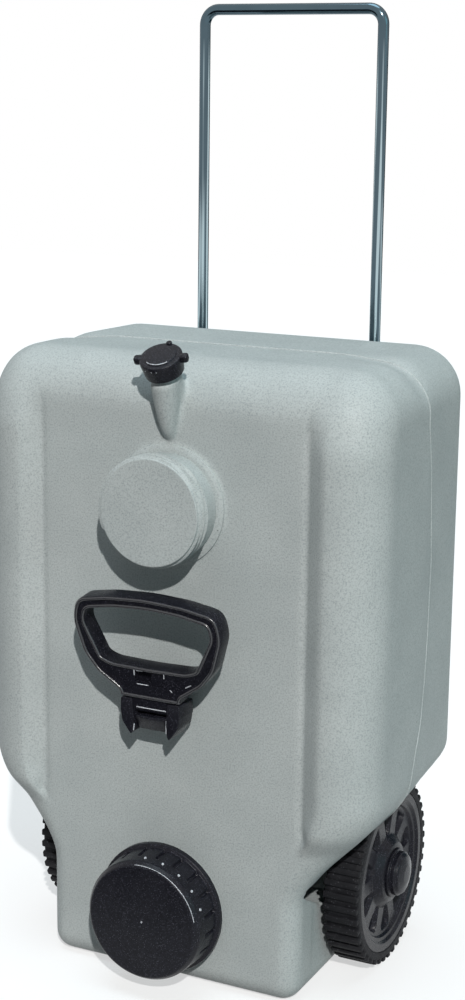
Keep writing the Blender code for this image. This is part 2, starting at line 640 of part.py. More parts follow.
def vent_cap(plastic, rubber):
    place = along("vent", VENT_MOUTH)
    seat = 2 * SEAT + VENT_SEAL
    top = seat + VENT_CAP_TOP
    skirt = top - VENT_CAP_HEIGHT
    bore = VENT_RADIUS + VENT_THREAD + 0.7 * MM
    cap = turned("vent_cap", [(bore, skirt), (VENT_CAP_SKIRT_RADIUS, skirt),
                              (VENT_CAP_RADIUS, top - 5 * MM), (VENT_CAP_RADIUS, top - 1.5 * MM),
                              (VENT_CAP_RADIUS - 1.5 * MM, top), (0, top), (0, seat), (bore, seat)],
                 SMALL_SIDES, place)
    start = VENT_THREAD_START + VENT_PITCH / 2
    phase = between_turns(start, VENT_THREAD_START, VENT_PITCH, SMALL_SIDES)
    join(cap, thread("vent_cap_thread", bore + 0.6 * MM, bore - VENT_CAP_THREAD, start, 1, VENT_PITCH,
                     VENT_THREAD_BASE, 0.8 * MM, SMALL_SIDES, place, phase))
    lug_place = place @ Matrix.Rotation(math.radians(VENT_LUG_TURN), 4, "Z")
    for side in (-1, 1):
        near, far = side * (bore + 1.2 * MM), side * VENT_LUG_SPAN / 2
        lug = box(f"vent_lug_{side}", (min(near, far), -VENT_LUG_WIDTH / 2, top - 1 * MM - VENT_LUG_HEIGHT),
                  (max(near, far), VENT_LUG_WIDTH / 2, top - 1 * MM), lug_place)
        join(cap, lug)
    join(cap, turned("vent_pip", [(0, top - 3 * MM), (VENT_PIP, top - 3 * MM), (VENT_PIP, top + 0.5 * MM),
                                  (0, top + MM)], TINY_SIDES,
                     place @ Matrix.Translation((0, VENT_CAP_RADIUS - VENT_PIP / 2, 0))))
    gasket = turned("vent_gasket", [(VENT_RADIUS - VENT_WALL, SEAT), (VENT_RADIUS, SEAT),
                                    (VENT_RADIUS, seat - SEAT), (VENT_RADIUS - VENT_WALL, seat - SEAT)],
                    SMALL_SIDES, place)
    cap.data.materials.append(plastic)
    gasket.data.materials.append(rubber)


# Pull handle


def handle_route(top, low):
    """The U's centre line from the left end up, across and down to the right end."""
    half = TUBE_SPACING / 2
    left = arc(-half + TUBE_BEND, top - TUBE_BEND, TUBE_BEND, 180, 90, 5)
    right = arc(half - TUBE_BEND, top - TUBE_BEND, TUBE_BEND, 90, 0, 5)
    return [(x, TUBE_DEPTH, z) for x, z in [(-half, low), *left, *right, (half, low)]]


def swept(name, route, radius, resolution):
    """A round bar along a route of points."""
    curve = bpy.data.curves.new(name, "CURVE")
    curve.dimensions = "3D"
    curve.bevel_depth = radius
    curve.bevel_resolution = resolution
    curve.use_fill_caps = True
    spline = curve.splines.new("POLY")
    spline.points.add(len(route) - 1)
    for point, place in zip(spline.points, route):
        point.co = (*place, 1)
    source = bpy.data.objects.new(f"{name}_curve", curve)
    bpy.context.collection.objects.link(source)
    data = bpy.data.meshes.new_from_object(source.evaluated_get(bpy.context.evaluated_depsgraph_get()))
    bpy.data.objects.remove(source, do_unlink=True)
    mesh = bmesh.new()
    mesh.from_mesh(data)
    bmesh.ops.remove_doubles(mesh, verts=mesh.verts, dist=1e-6)
    return finished(name, mesh)


def plug_place():
    """Height of the tube's lower end with the handle pulled out: its plug meets the lower guide."""
    return LOWER_GUIDE - GUIDE_HEIGHT / 2 - SEAT - 0.3 * PLUG_HEAD


def pull_handle(chrome, plastic):
    low = plug_place()
    top = HANDLE_TOP
    bar = swept("pull_handle", handle_route(top, low), TUBE_RADIUS, 3)
    inside = swept("pull_handle_bore", handle_route(top, low - 10 * MM), TUBE_RADIUS - TUBE_WALL, 2)
    cut(bar, inside)
    bar.data.materials.append(chrome)
    for side, word in ((1, "right"), (-1, "left")):
        stem = TUBE_RADIUS - TUBE_WALL - 0.5 * MM
        sleeve = TUBE_RADIUS + RUN
        top_face = low + 0.3 * PLUG_HEAD
        end = low - 0.7 * PLUG_HEAD
        plug = turned(f"tube_stop_{word}", [(0, end), (PLUG_HEAD_RADIUS - MM, end),
                                            (PLUG_HEAD_RADIUS, low - 0.5 * PLUG_HEAD),
                                            (PLUG_HEAD_RADIUS, top_face), (sleeve, top_face),
                                            (sleeve, low - SEAT), (stem, low - SEAT),
                                            (stem, low + PLUG_STEM), (0, low + PLUG_STEM)],
                      TINY_SIDES, along("up", (side * TUBE_SPACING / 2, TUBE_DEPTH, 0)))
        plug.data.materials.append(plastic)


def screw_places():
    """Name, side distance and height of every guide screw."""
    places = []
    for level, height in (("upper", UPPER_GUIDE), ("lower", LOWER_GUIDE)):
        for side, word in ((1, "right"), (-1, "left")):
            for step, part in ((-1, "inner"), (1, "outer")):
                reach = GUIDE_WIDTH / 2 - SCREW_INSET
                centre = side * TUBE_SPACING / 2 + side * step * reach
                places.append((f"{level}_{word}_{part}", centre, height))
    return places


def handle_guides(plastic, steel):
    rear = TANK_DEPTH + SEAT
    slot = TUBE_RADIUS + GROOVE_GAP - SEAT
    for level, height in (("upper", UPPER_GUIDE), ("lower", LOWER_GUIDE)):
        for side, word in ((1, "right"), (-1, "left")):
            centre = side * TUBE_SPACING / 2
            half = GUIDE_WIDTH / 2
            low, high = height - GUIDE_HEIGHT / 2, height + GUIDE_HEIGHT / 2
            edge, face = rear + 0.6 * GUIDE_PLATE, rear + GUIDE_PLATE
            plate = [(centre - half, rear), (centre + half, rear), (centre + half, edge),
                     (centre + half - 2 * MM, face), (centre - half + 2 * MM, face), (centre - half, edge)]
            guide = prism(f"tube_guide_{level}_{word}", plate, low, high)
            saddle = [(centre - slot, rear + MM)] + arc(centre, TUBE_DEPTH, slot, 180, 360, 8)
            saddle.append((centre + slot, rear + MM))
            join(guide, prism(f"saddle_{level}_{word}", saddle, low, high))
            cut(guide, turned(f"guide_bore_{level}_{word}",
                              [(0, low - 5 * MM), (TUBE_RADIUS + RUN, low - 5 * MM),
                               (TUBE_RADIUS + RUN, high + 5 * MM), (0, high + 5 * MM)], TINY_SIDES,
                              along("up", (centre, TUBE_DEPTH, 0))))
            guide.data.materials.append(plastic)
    for word, centre, height in screw_places():
        guide = bpy.data.objects["tube_guide_" + word.rsplit("_", 1)[0]]
        place = along("back", (centre, rear + GUIDE_PLATE, height))
        clear = SCREW_SHANK + SEAT
        through = -GUIDE_PLATE - MM
        cut(guide, turned(f"guide_hole_{word}", [(0, through), (clear, through), (clear, MM), (0, MM)],
                          TINY_SIDES, place))
        screw = turned(f"guide_screw_{word}", [(0, -GUIDE_PLATE - SCREW_LENGTH + MM),
                                               (SCREW_SHANK, -GUIDE_PLATE - SCREW_LENGTH + 2 * MM),
                                               (SCREW_SHANK, SEAT), (SCREW_HEAD, SEAT),
                                               (0.7 * SCREW_HEAD, 0.8 * SCREW_HEAD_HEIGHT),
                                               (0, SCREW_HEAD_HEIGHT)], TINY_SIDES, place)
        screw.data.materials.append(steel)


# Carry handle


def grip_outline():
    """Outer outline of the carry handle, drawn from the hinge: a broad loop on a narrower neck."""
    base = EAR_RADIUS + 2 * SEAT
    top = GRIP_HEIGHT - GRIP_CROWN
    right = [(NECK_HALF, base), (NECK_HALF + 1.5 * MM, NECK_HEIGHT), (FLARE_HALF, FLARE_HEIGHT)]
    right += arc(GRIP_HALF - GRIP_CORNER, top - GRIP_CORNER, GRIP_CORNER, -15, 80, 4)
    right.append((GRIP_HALF / 4, GRIP_HEIGHT))
    return right + [(-x, z) for x, z in reversed(right)]


def opening_outline():
    """The finger opening inside the loop."""
    half = GRIP_HALF - GRIP_SIDE_BAR
    top = GRIP_HEIGHT - GRIP_CROWN - GRIP_TOP_BAR
    right = [(OPENING_FOOT_HALF - 10 * MM, OPENING_LOW), (OPENING_FOOT_HALF, OPENING_LOW + 3 * MM)]
    right += arc(half - OPENING_CORNER, top - OPENING_CORNER, OPENING_CORNER, -15, 80, 3)
    right.append((half / 4, top + GRIP_CROWN))
    return right + [(-x, z) for x, z in reversed(right)]


def carry_handle(plastic):
    place = Matrix.Translation((0, -HINGE_FORWARD, HINGE_HEIGHT)) @ Matrix.Rotation(
        math.radians(HANDLE_LEAN), 4, "X")
    front, back = -GRIP_FORWARD, GRIP_DEPTH - GRIP_FORWARD
    grip = prism("carry_handle", grip_outline(), front, back, "Y", place)
    tongue = [(-TONGUE_RADIUS, EAR_RADIUS + 4 * MM)] + arc(0, 0, TONGUE_RADIUS, 180, 360, 8)
    tongue.append((TONGUE_RADIUS, EAR_RADIUS + 4 * MM))
    join(grip, prism("hinge_tongue", tongue, -TONGUE_HALF, TONGUE_HALF, "X", place))
    cut(grip, prism("finger_opening", opening_outline(), front - 5 * MM, back + 5 * MM, "Y", place),
        box("grip_recess", (-RECESS_HALF, front - 5 * MM, RECESS_ABOVE),
            (RECESS_HALF, front + RECESS_DEPTH, RECESS_ABOVE + RECESS_HEIGHT), place),
        turned("tongue_bore", [(0, -NECK_HALF), (PIN_RADIUS + RUN, -NECK_HALF),
                               (PIN_RADIUS + RUN, NECK_HALF), (0, NECK_HALF)],
               TINY_SIDES, place @ along("right")))
    soft = grip.modifiers.new("soft_edges", "BEVEL")
    soft.width = 1.6 * MM
    soft.segments = 1
    soft.limit_method = "ANGLE"
    soft.angle_limit = math.radians(50)
    grip.data.materials.append(plastic)


def bracket_outline():
    """Front view of the bracket: cheeks that curve in towards its foot."""
    right = [(BRACKET_FOOT_HALF, BRACKET_LOW), (0.86 * NECK_HALF, BRACKET_LOW + 6 * MM),
             (0.97 * NECK_HALF, BRACKET_LOW + 14 * MM), (NECK_HALF, HINGE_HEIGHT)]
    right.append((NECK_HALF, HINGE_HEIGHT + EAR_RADIUS + 2 * MM))
    return right + [(-x, z) for x, z in reversed(right)]


def handle_bracket(plastic, steel):
    front = -HINGE_FORWARD - EAR_RADIUS
    rear_of_ear = -HINGE_FORWARD + EAR_RADIUS
    back = -BRACKET_STANDOFF
    bracket = prism("handle_bracket", bracket_outline(), front, back, "Y")
    slot_half = TONGUE_HALF + RUN
    slot_low = HINGE_HEIGHT - TONGUE_RADIUS - RUN
    above = HINGE_HEIGHT + 30 * MM
    beyond = 10 * MM
    ear_cutter = [(back + beyond, above), (back + beyond, HINGE_HEIGHT)]
    ear_cutter += arc(-HINGE_FORWARD, HINGE_HEIGHT, EAR_RADIUS, 0, 180, 8)
    ear_cutter += [(front - beyond, HINGE_HEIGHT), (front - beyond, above)]
    cut(bracket, prism("ear_cutter", ear_cutter, -2 * NECK_HALF, 2 * NECK_HALF, "X"),
        box("tongue_slot", (-slot_half, front - beyond, slot_low), (slot_half, rear_of_ear, above)),
        box("lug_pocket", (-LUG_HALF - SEAT, -LUG_DEPTH - SEAT, LUG_LOW - SEAT),
            (LUG_HALF + SEAT, beyond, LUG_HIGH + SEAT)),
        box("tab_room", (-TAB_HALF - TAB_SLOT, front + TAB_THICKNESS, BRACKET_LOW - beyond),
            (TAB_HALF + TAB_SLOT, rear_of_ear - BRACKET_WALL, slot_low - 3 * MM)))
    for side in (-1, 1):
        near, far = side * TAB_HALF, side * (TAB_HALF + TAB_SLOT)
        cut(bracket, box(f"tab_slot_{side}", (min(near, far), front - beyond, BRACKET_LOW - beyond),
                         (max(near, far), front + TAB_THICKNESS + MM, slot_low - 3 * MM)))
    bend = slot_low - 6 * MM
    low = BRACKET_LOW + 1 * MM
    inside = front + TAB_THICKNESS - 0.5 * MM
    tab = [(front, bend), (front - TAB_REACH, low), (front - TAB_REACH + TAB_THICKNESS, low),
           (inside, bend - 4 * MM), (inside, bend)]
    join(bracket, prism("release_tab", tab, -TAB_HALF + 0.2 * MM, TAB_HALF - 0.2 * MM, "X"))
    pin_place = along("right", (0, -HINGE_FORWARD, HINGE_HEIGHT))
    clear = PIN_RADIUS + SEAT
    ends = NECK_HALF - 2 * MM
    outside = 2 * NECK_HALF
    cut(bracket, turned("pin_hole", [(0, -ends), (clear, -ends), (clear, outside), (0, outside)],
                        TINY_SIDES, pin_place))
    pin = turned("hinge_pin", [(0, SEAT - ends), (PIN_RADIUS, SEAT - ends), (PIN_RADIUS, ends), (0, ends)],
                 TINY_SIDES, pin_place)
    bracket.data.materials.append(plastic)
    pin.data.materials.append(steel)


def build():
    clear_scene()
    tank_grey = material("tank_polyethylene", (0.39, 0.44, 0.43), 0.55)
    black = material("black_plastic", (0.018, 0.018, 0.02), 0.42)
    rubber = material("black_rubber", (0.02, 0.02, 0.02), 0.75)
    chrome = material("bright_chrome", (0.75, 0.8, 0.83), 0.12, 1)
    steel = material("zinc_steel", (0.6, 0.6, 0.58), 0.35, 1)
    tank_shell(tank_grey)
    axle_end = 0
    for side, word in ((1, "right"), (-1, "left")):
        axle_end = wheel(side, word, black, rubber, steel)
    axle_rod(axle_end, steel)
    drain_cap(black, rubber)
    vent_cap(black, rubber)
    pull_handle(chrome, black)
    handle_guides(black, steel)
    carry_handle(black)
    handle_bracket(black, steel)


build()
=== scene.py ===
"""Looks of the wheeled water tank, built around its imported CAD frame.

The frame is in metres: X runs to the tank's right, Y from the front panel to the back and Z up from the
floor. The classes below measure Y from the front panel, and PANEL moves each finished mesh to the frame.
"""

from __future__ import annotations

import json
import logging
import math
from dataclasses import dataclass
from enum import Enum
from typing import Callable, Sequence

import bmesh
import bpy
import numpy as np
from mathutils import Matrix, Vector

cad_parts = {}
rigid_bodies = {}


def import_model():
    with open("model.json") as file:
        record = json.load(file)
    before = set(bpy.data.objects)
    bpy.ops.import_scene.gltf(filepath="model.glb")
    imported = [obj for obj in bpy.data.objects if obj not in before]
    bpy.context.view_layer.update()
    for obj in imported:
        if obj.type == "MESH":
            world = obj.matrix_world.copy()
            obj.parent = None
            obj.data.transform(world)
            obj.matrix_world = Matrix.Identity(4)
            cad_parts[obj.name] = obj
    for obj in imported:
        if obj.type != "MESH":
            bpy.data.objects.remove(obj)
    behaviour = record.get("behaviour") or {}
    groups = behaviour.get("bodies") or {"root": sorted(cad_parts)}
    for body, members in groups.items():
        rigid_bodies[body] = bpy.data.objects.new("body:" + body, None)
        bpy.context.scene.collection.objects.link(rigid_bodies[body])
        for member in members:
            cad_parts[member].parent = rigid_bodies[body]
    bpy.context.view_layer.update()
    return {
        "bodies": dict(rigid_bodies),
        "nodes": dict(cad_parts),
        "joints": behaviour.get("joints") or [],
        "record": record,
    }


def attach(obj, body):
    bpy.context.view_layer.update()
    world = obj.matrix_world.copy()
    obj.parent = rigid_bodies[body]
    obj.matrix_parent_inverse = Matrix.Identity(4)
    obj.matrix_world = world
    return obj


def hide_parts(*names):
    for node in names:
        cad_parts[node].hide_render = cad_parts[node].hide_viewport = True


LOG = logging.getLogger("wheeled_tank")
MM = 0.001
PANEL = Matrix.Translation((0, -99.5 * MM, 0))
STILL = Matrix.Identity(4)

BLANK_HEIGHT = 433 * MM
DRAIN_HEIGHT = 74 * MM
WHEEL_RADIUS = 84 * MM
AXLE_DEPTH = 130 * MM
TUBE_SPACING = 176.8 * MM
TUBE_DEPTH = 229 * MM
LEAST_ROUND = 1.5 * MM
BEYOND = 20 * MM
# Radius of the pale beads that paint highlights along edges.
HIGHLIGHT_LINE_RADIUS = 0.5 * MM

Point = tuple[float, float]
Spot = tuple[float, float, float]
Corner = tuple[float, float, float]
Colour = tuple[float, float, float]
Array = np.ndarray
Piece = bpy.types.Object
Socket = bpy.types.NodeSocket
Shaper = Callable[[Array, Array, Array], tuple[Array, Array]]


class Slot(Enum):
    """The record's material slots."""

    TANK = "tank_polyethylene"
    BLACK = "black_plastic"
    POLISHED = "polished_black"
    # A pale finish whose colour paints highlights on black edges, dots and pips.
    WORN = "worn_edge"
    SEAL = "black_rubber"
    TYRE = "tyre_rubber"
    CHROME = "bright_chrome"
    ZINC = "zinc_steel"

    @property
    def recorded(self) -> str:
        """The record's slot that the finish belongs to."""
        return Slot.BLACK.value if self in (Slot.POLISHED, Slot.WORN) else self.value


class Body(Enum):
    """The CAD bodies that pieces ride on."""

    TANK = "tank"
    PULL_HANDLE = "pull_handle"
    DRAIN_CAP = "drain_cap"
    VENT_CAP = "vent_cap"
    CARRY_HANDLE = "carry_handle"
    WHEEL_LEFT = "wheel_left"
    WHEEL_RIGHT = "wheel_right"


class Facing(Enum):
    """Which way local Z points: the axis and the angle in degrees that turn it there."""

    FRONT = ("X", 90)
    BACK = ("X", -90)
    RIGHT = ("Y", 90)
    LEFT = ("Y", -90)

    def at(self, x: float, y: float, z: float) -> Matrix:
        """A placement at a point, with local Z turned this way."""
        axis, angle = self.value
        return Matrix.Translation((x, y, z)) @ turn(angle, axis)


def turn(angle: float, axis: str) -> Matrix:
    """A rotation by an angle in degrees about an axis."""
    return Matrix.Rotation(math.radians(angle), 4, axis)


def scaled(rows: Sequence[Corner], first: float = 0, second: float = 0) -> list[Corner]:
    """Corners given in millimetres as metres, moved by an offset in metres."""
    return [(first + u * MM, second + v * MM, radius * MM) for u, v, radius in rows]


def rectangle(x0: float, y0: float, x1: float, y1: float) -> list[Point]:
    """The four corners of a rectangle between two opposite ones."""
    return [(x0, y0), (x1, y0), (x1, y1), (x0, y1)]


def smooth_step(value: Array | float, low: float, high: float) -> Array | float:
    """A soft S from 0 at low to 1 at high."""
    share = np.clip((value - low) / (high - low), 0, 1)
    return share * share * (3 - 2 * share)


def arc(centre: Point, radius: float, start: float, end: float, steps: int) -> list[Point]:
    """Points of an arc between two angles in degrees, both ends in."""
    angles = np.radians(np.linspace(start, end, steps + 1))
    return [(centre[0] + radius * math.cos(a), centre[1] + radius * math.sin(a)) for a in angles]


def rounded(corners: Sequence[Corner], closed: bool, steps: int = 5) -> list[Point]:
    """An outline whose corners are rounded.

    Args:
        corners: First coordinate, second coordinate and radius of each corner.
        closed: Whether the last corner joins the first.
        steps: Pieces in each rounding.

    Returns:
        The outline's points.
    """
    points: list[Point] = []
    count = len(corners)
    for i, (x, y, radius) in enumerate(corners):
        at_end = not closed and i in (0, count - 1)
        if radius <= 0 or at_end:
            points.append((x, y))
            continue
        here = np.array((x, y))
        before = np.array(corners[i - 1][:2]) - here
        after = np.array(corners[(i + 1) % count][:2]) - here
        reach_before, reach_after = np.linalg.norm(before), np.linalg.norm(after)
        before, after = before / reach_before, after / reach_after
        angle = math.acos(float(np.clip(before @ after, -1, 1)))
        if math.pi - angle < 0.02:
            points.append((x, y))
            continue
        cut = min(radius / math.tan(angle / 2), 0.48 * reach_before, 0.48 * reach_after)
        start, end = here + before * cut, here + after * cut
        for share in np.linspace(0, 1, steps + 1):
            spot = start * (1 - share) ** 2 + here * 2 * share * (1 - share) + end * share**2
            points.append((float(spot[0]), float(spot[1])))
    return points


def refined(points: Sequence[Point], step: float, closed: bool) -> list[Point]:
    """The same outline with no stretch longer than a step.

    Args:
        points: Outline to divide.
        step: Longest stretch left.
        closed: Whether the last point joins the first.

    Returns:
        The divided outline.
    """
    result: list[Point] = []
    pairs = list(zip(points, points[1:] + ([points[0]] if closed else [])))
    for (x0, y0), (x1, y1) in pairs:
        parts = max(1, math.ceil(math.hypot(x1 - x0, y1 - y0) / step))
        result += [(x0 + (x1 - x0) * i / parts, y0 + (y1 - y0) * i / parts) for i in range(parts)]
    return result if closed else result + [points[-1]]


def linked(name: str, data: bpy.types.ID) -> Piece:
    """A new object of the scene.

    Args:
        name: Name of the object.
        data: Its mesh, curve, lamp or camera.

    Returns:
        The object.
    """
    item = bpy.data.objects.new(name, data)
    bpy.context.scene.collection.objects.link(item)
    return item


def frame_object(name: str, mesh: bmesh.types.BMesh, place: Matrix, sharp: float = 35) -> Piece:
    """Turns a bmesh into an object at the origin whose mesh is in its place in the frame.

    Args:
        name: Name of the object.
        mesh: Its geometry, in the class's own coordinates. It is freed.
        place: Placement of that geometry, measured from the front panel.
        sharp: Angle in degrees past which an edge stays sharp.

    Returns:
        The object, linked to the scene.
    """
    bmesh.ops.remove_doubles(mesh, verts=mesh.verts, dist=1e-6)
    bmesh.ops.dissolve_degenerate(mesh, edges=mesh.edges, dist=1e-7)
    bmesh.ops.transform(mesh, matrix=PANEL @ place, verts=mesh.verts)
    bmesh.ops.recalc_face_normals(mesh, faces=mesh.faces)
    data = bpy.data.meshes.new(name)
    mesh.to_mesh(data)
    mesh.free()
    return smoothed(linked(name, data), sharp)


def smoothed(item: Piece, sharp: float) -> Piece:
    """Shades an object smooth, apart from its sharp edges.

    Args:
        item: Object to shade.
        sharp: Angle in degrees past which an edge stays sharp.

    Returns:
        The same object.
    """
    item.data.shade_smooth()
    item.data.set_sharp_from_angle(angle=math.radians(sharp))
    return item


def grid_mesh(points: Array, wrap_rows: bool, wrap_columns: bool) -> bmesh.types.BMesh:
    """A sheet of quads through a grid of points.

    Args:
        points: Array of rows, columns and three coordinates.
        wrap_rows: Whether the last row joins the first.
        wrap_columns: Whether the last column joins the first.

    Returns:
        The sheet as a bmesh.
    """
    rows, columns = points.shape[:2]
    mesh = bmesh.new()
    corners = [mesh.verts.new(point) for point in points.reshape(-1, 3)]
    for i in range(rows if wrap_rows else rows - 1):
        for j in range(columns if wrap_columns else columns - 1):
            k, m = (i + 1) % rows, (j + 1) % columns
            mesh.faces.new((corners[i * columns + j], corners[i * columns + m],
                            corners[k * columns + m], corners[k * columns + j]))
    return mesh


def turned(name: str, outline: Sequence[Point], sides: int, place: Matrix, closed: bool = False,
           shape: Shaper | None = None, sharp: float = 35) -> Piece:
    """A form turned about local Z, with an optional pattern pressed into it.

    Args:
        name: Name of the object.
        outline: Radius and height of each point, from axis to axis, or all round for a ring.
        sides: Steps round the axis.
        place: Placement, measured from the front panel.
        closed: Whether the outline is a ring that doesn't meet the axis.
        shape: Given angle, radius and height arrays, returns the new radius and height.
        sharp: Angle in degrees past which an edge stays sharp.

    Returns:
        The finished object.
    """
    profile = np.array(outline)
    angles = np.linspace(0, 2 * math.pi, sides, endpoint=False)[None, :]
    radius = np.repeat(profile[:, :1], sides, axis=1)
    height = np.repeat(profile[:, 1:], sides, axis=1)
    if shape:
        radius, height = shape(angles, radius, height)
    points = np.stack((radius * np.cos(angles), radius * np.sin(angles), height), axis=2)
    return frame_object(name, grid_mesh(points, closed, True), place, sharp)


def lofted(name: str, rings: Sequence[Sequence[Sequence[float]]], place: Matrix = STILL,
           sharp: float = 35) -> Piece:
    """A solid through rings of equal point counts, closed by a face at each end.

    Args:
        name: Name of the object.
        rings: Rings of points.
        place: Placement, measured from the front panel.
        sharp: Angle in degrees past which an edge stays sharp.

    Returns:
        The finished object.
    """
    mesh = grid_mesh(np.array(rings), False, True)
    mesh.verts.ensure_lookup_table()
    count = len(rings[0])
    mesh.faces.new(list(mesh.verts)[:count])
    mesh.faces.new(list(mesh.verts)[-count:])
    return frame_object(name, mesh, place, sharp)


def prism(name: str, outline: Sequence[Point], low: float, high: float, axis: str,
          place: Matrix = STILL) -> Piece:
    """A solid whose outline is square to an axis.

    Args:
        name: Name of the object.
        outline: Points in the two other axes, in their order.
        low: Where it starts along the axis.
        high: Where it ends.
        axis: X, Y or Z.
        place: Placement, measured from the front panel.

    Returns:
        The finished object.
    """
    order = {"X": (2, 0, 1), "Y": (0, 2, 1), "Z": (0, 1, 2)}[axis]
    rings = [[tuple((u, v, w)[k] for k in order) for u, v in outline] for w in (low, high)]
    return lofted(name, rings, place)


def baked(item: Piece) -> Piece:
    """Replaces an object by a plain mesh object with its modifiers applied.

    Args:
        item: Object to bake. It is removed.

    Returns:
        The plain object, of the same name.
    """
    name = item.name
    bpy.context.view_layer.update()
    graph = bpy.context.evaluated_depsgraph_get()
    data = bpy.data.meshes.new_from_object(item.evaluated_get(graph), preserve_all_data_layers=True,
                                           depsgraph=graph)
    bpy.data.objects.remove(item, do_unlink=True)
    data.name = name
    return linked(name, data)


def add_step(item: Piece, kind: str, **settings: object) -> None:
    """Adds a modifier.

    Args:
        item: Object that gets it.
        kind: Modifier type, such as BEVEL.
        settings: Its properties.
    """
    step = item.modifiers.new(kind.lower(), kind)
    for key, value in settings.items():
        setattr(step, key, value)


def carved(item: Piece, *tools: Piece) -> Piece:
    """Cuts others out of an object and removes them.

    Args:
        item: Object to change.
        tools: The other objects.

    Returns:
        The changed object.
    """
    for tool in tools:
        add_step(item, "BOOLEAN", operation="DIFFERENCE", solver="EXACT", object=tool)
    made = baked(item)
    for tool in tools:
        bpy.data.objects.remove(tool, do_unlink=True)
    return made


def softened(item: Piece, width: float, segments: int = 2, angle: float = 40) -> Piece:
    """Rounds an object's sharp edges.

    Args:
        item: Object to change.
        width: Width of the rounding.
        segments: Faces across it.
        angle: Angle in degrees past which an edge is rounded.

    Returns:
        The changed object.
    """
    add_step(item, "BEVEL", width=width, segments=segments, limit_method="ANGLE",
             angle_limit=math.radians(angle), harden_normals=False)
    return smoothed(baked(item), 50)


def merged(name: str, items: Sequence[Piece]) -> Piece:
    """Puts several objects in one.

    Args:
        name: Name of the new object.
        items: Objects to put together. They are removed.

    Returns:
        The new object.
    """
    mesh = bmesh.new()
    for item in items:
        mesh.from_mesh(item.data)
    data = bpy.data.meshes.new(name)
    mesh.to_mesh(data)
    mesh.free()
    for item in items:
        bpy.data.objects.remove(item, do_unlink=True)
    return linked(name, data)


def feed(tree: bpy.types.NodeTree, target: Socket, value: object) -> None:
    """Feeds an input of a node.

    Args:
        tree: Tree that the node is in.
        target: The input.
        value: Socket to link to it, or the plain value that it takes.
    """
    if isinstance(value, Socket):
        tree.links.new(value, target)
    else:
        target.default_value = value


def add_node(tree: bpy.types.NodeTree, kind: str, feeds: dict[str, object] | None = None,
             **settings: object) -> bpy.types.Node:
    """Adds a node and feeds its inputs.

    Args:
        tree: Tree to add it to.
        kind: Node type.
        feeds: Input name, or its number as text, to a socket or a plain value.
        settings: Properties of the node.

    Returns:
        The node.
    """
    made = tree.nodes.new(kind)
    for key, value in settings.items():
        setattr(made, key, value)
    for key, value in (feeds or {}).items():
        feed(tree, made.inputs[int(key)] if key.isdigit() else made.inputs[key], value)
    return made


class Tree:
    """A Geometry Nodes tree with named inputs, the last of them its finish."""

    def __init__(self, name: str, sizes: dict[str, str]) -> None:
        """Starts a tree that takes and gives geometry.

        Args:
            name: Name of the tree.
            sizes: Name of each input of its own to its kind, such as Float.
        """
        self.group = bpy.data.node_groups.new(name, "GeometryNodeTree")
        sockets = self.group.interface
        sockets.new_socket("Geometry", in_out="OUTPUT", socket_type="NodeSocketGeometry")
        for key, kind in {"Geometry": "Geometry", **sizes, "Finish": "Material"}.items():
            sockets.new_socket(key, in_out="INPUT", socket_type=f"NodeSocket{kind}")
        self.entry = self.group.nodes.new("NodeGroupInput")
        self.exit = self.group.nodes.new("NodeGroupOutput")

    def given(self, name: str) -> Socket:
        """The socket of a named input."""
        return self.entry.outputs[name]

    def node(self, kind: str, feeds: dict[str, object] | None = None, **settings: object) -> Socket:
        """Adds a node, feeds its inputs and gives its first output."""
        return add_node(self.group, kind, feeds, **settings).outputs[0]

    def finish(self, geometry: Socket) -> None:
        """Realizes the instances, sets the finish and ends the tree.

        Args:
            geometry: What the tree has made.
        """
        real = self.node("GeometryNodeRealizeInstances", {"Geometry": geometry})
        smooth = self.node("GeometryNodeSetShadeSmooth", {"Geometry": real})
        coat = self.node("GeometryNodeSetMaterial", {"Geometry": smooth, "Material": self.given("Finish")})
        feed(self.group, self.exit.inputs[0], coat)

    def grow(self, item: Piece, values: dict[str, object]) -> Piece:
        """Runs the tree on an object and keeps the result as a plain mesh.

        Args:
            item: Object that the tree starts from. It is removed.
            values: Input name to value.

        Returns:
            The plain object.
        """
        step = item.modifiers.new(self.group.name, "NODES")
        step.node_group = self.group
        for socket in self.group.interface.items_tree:
            if socket.in_out == "INPUT" and socket.name in values:
                step[socket.identifier] = values[socket.name]
        return baked(item)


def ring_tree() -> Tree:
    """Copies of a small part round local Z: the lugs of a tyre or a cap.

    Returns:
        The tree.
    """
    tree = Tree("copies_round_axis", {"Copies": "Int", "First angle": "Float"})
    line = tree.node("GeometryNodeMeshLine", {"Count": tree.given("Copies"), "Offset": (0, 0, 0)})
    index = tree.node("GeometryNodeInputIndex")
    share = tree.node("ShaderNodeMath", {"0": index, "1": tree.given("Copies")}, operation="DIVIDE")
    angle = tree.node("ShaderNodeMath", {"0": share, "1": 2 * math.pi, "2": tree.given("First angle")},
                      operation="MULTIPLY_ADD")
    euler = tree.node("ShaderNodeCombineXYZ", {"Z": angle})
    spin = tree.node("FunctionNodeEulerToRotation", {"0": euler})
    tree.finish(tree.node("GeometryNodeInstanceOnPoints",
                          {"Points": line, "Instance": tree.given("Geometry"), "Rotation": spin}))
    return tree


def sweep_tree() -> Tree:
    """A round bar along a curve: the tube, beads and the seam.

    Returns:
        The tree.
    """
    tree = Tree("bar_along_curve", {"Radius": "Float", "Sides": "Int"})
    profile = tree.node("GeometryNodeCurvePrimitiveCircle",
                        {"Resolution": tree.given("Sides"), "Radius": tree.given("Radius")})
    tree.finish(tree.node("GeometryNodeCurveToMesh", {"Curve": tree.given("Geometry"),
                                                      "Profile Curve": profile, "Fill Caps": True}))
    return tree


def spot_tree() -> Tree:
    """Copies of another object on an object's points: the screws.

    Returns:
        The tree.
    """
    tree = Tree("copies_on_points", {"Part": "Object"})
    part = add_node(tree.group, "GeometryNodeObjectInfo", {"Object": tree.given("Part")})
    tree.finish(tree.node("GeometryNodeInstanceOnPoints",
                          {"Points": tree.given("Geometry"), "Instance": part.outputs["Geometry"]}))
    return tree


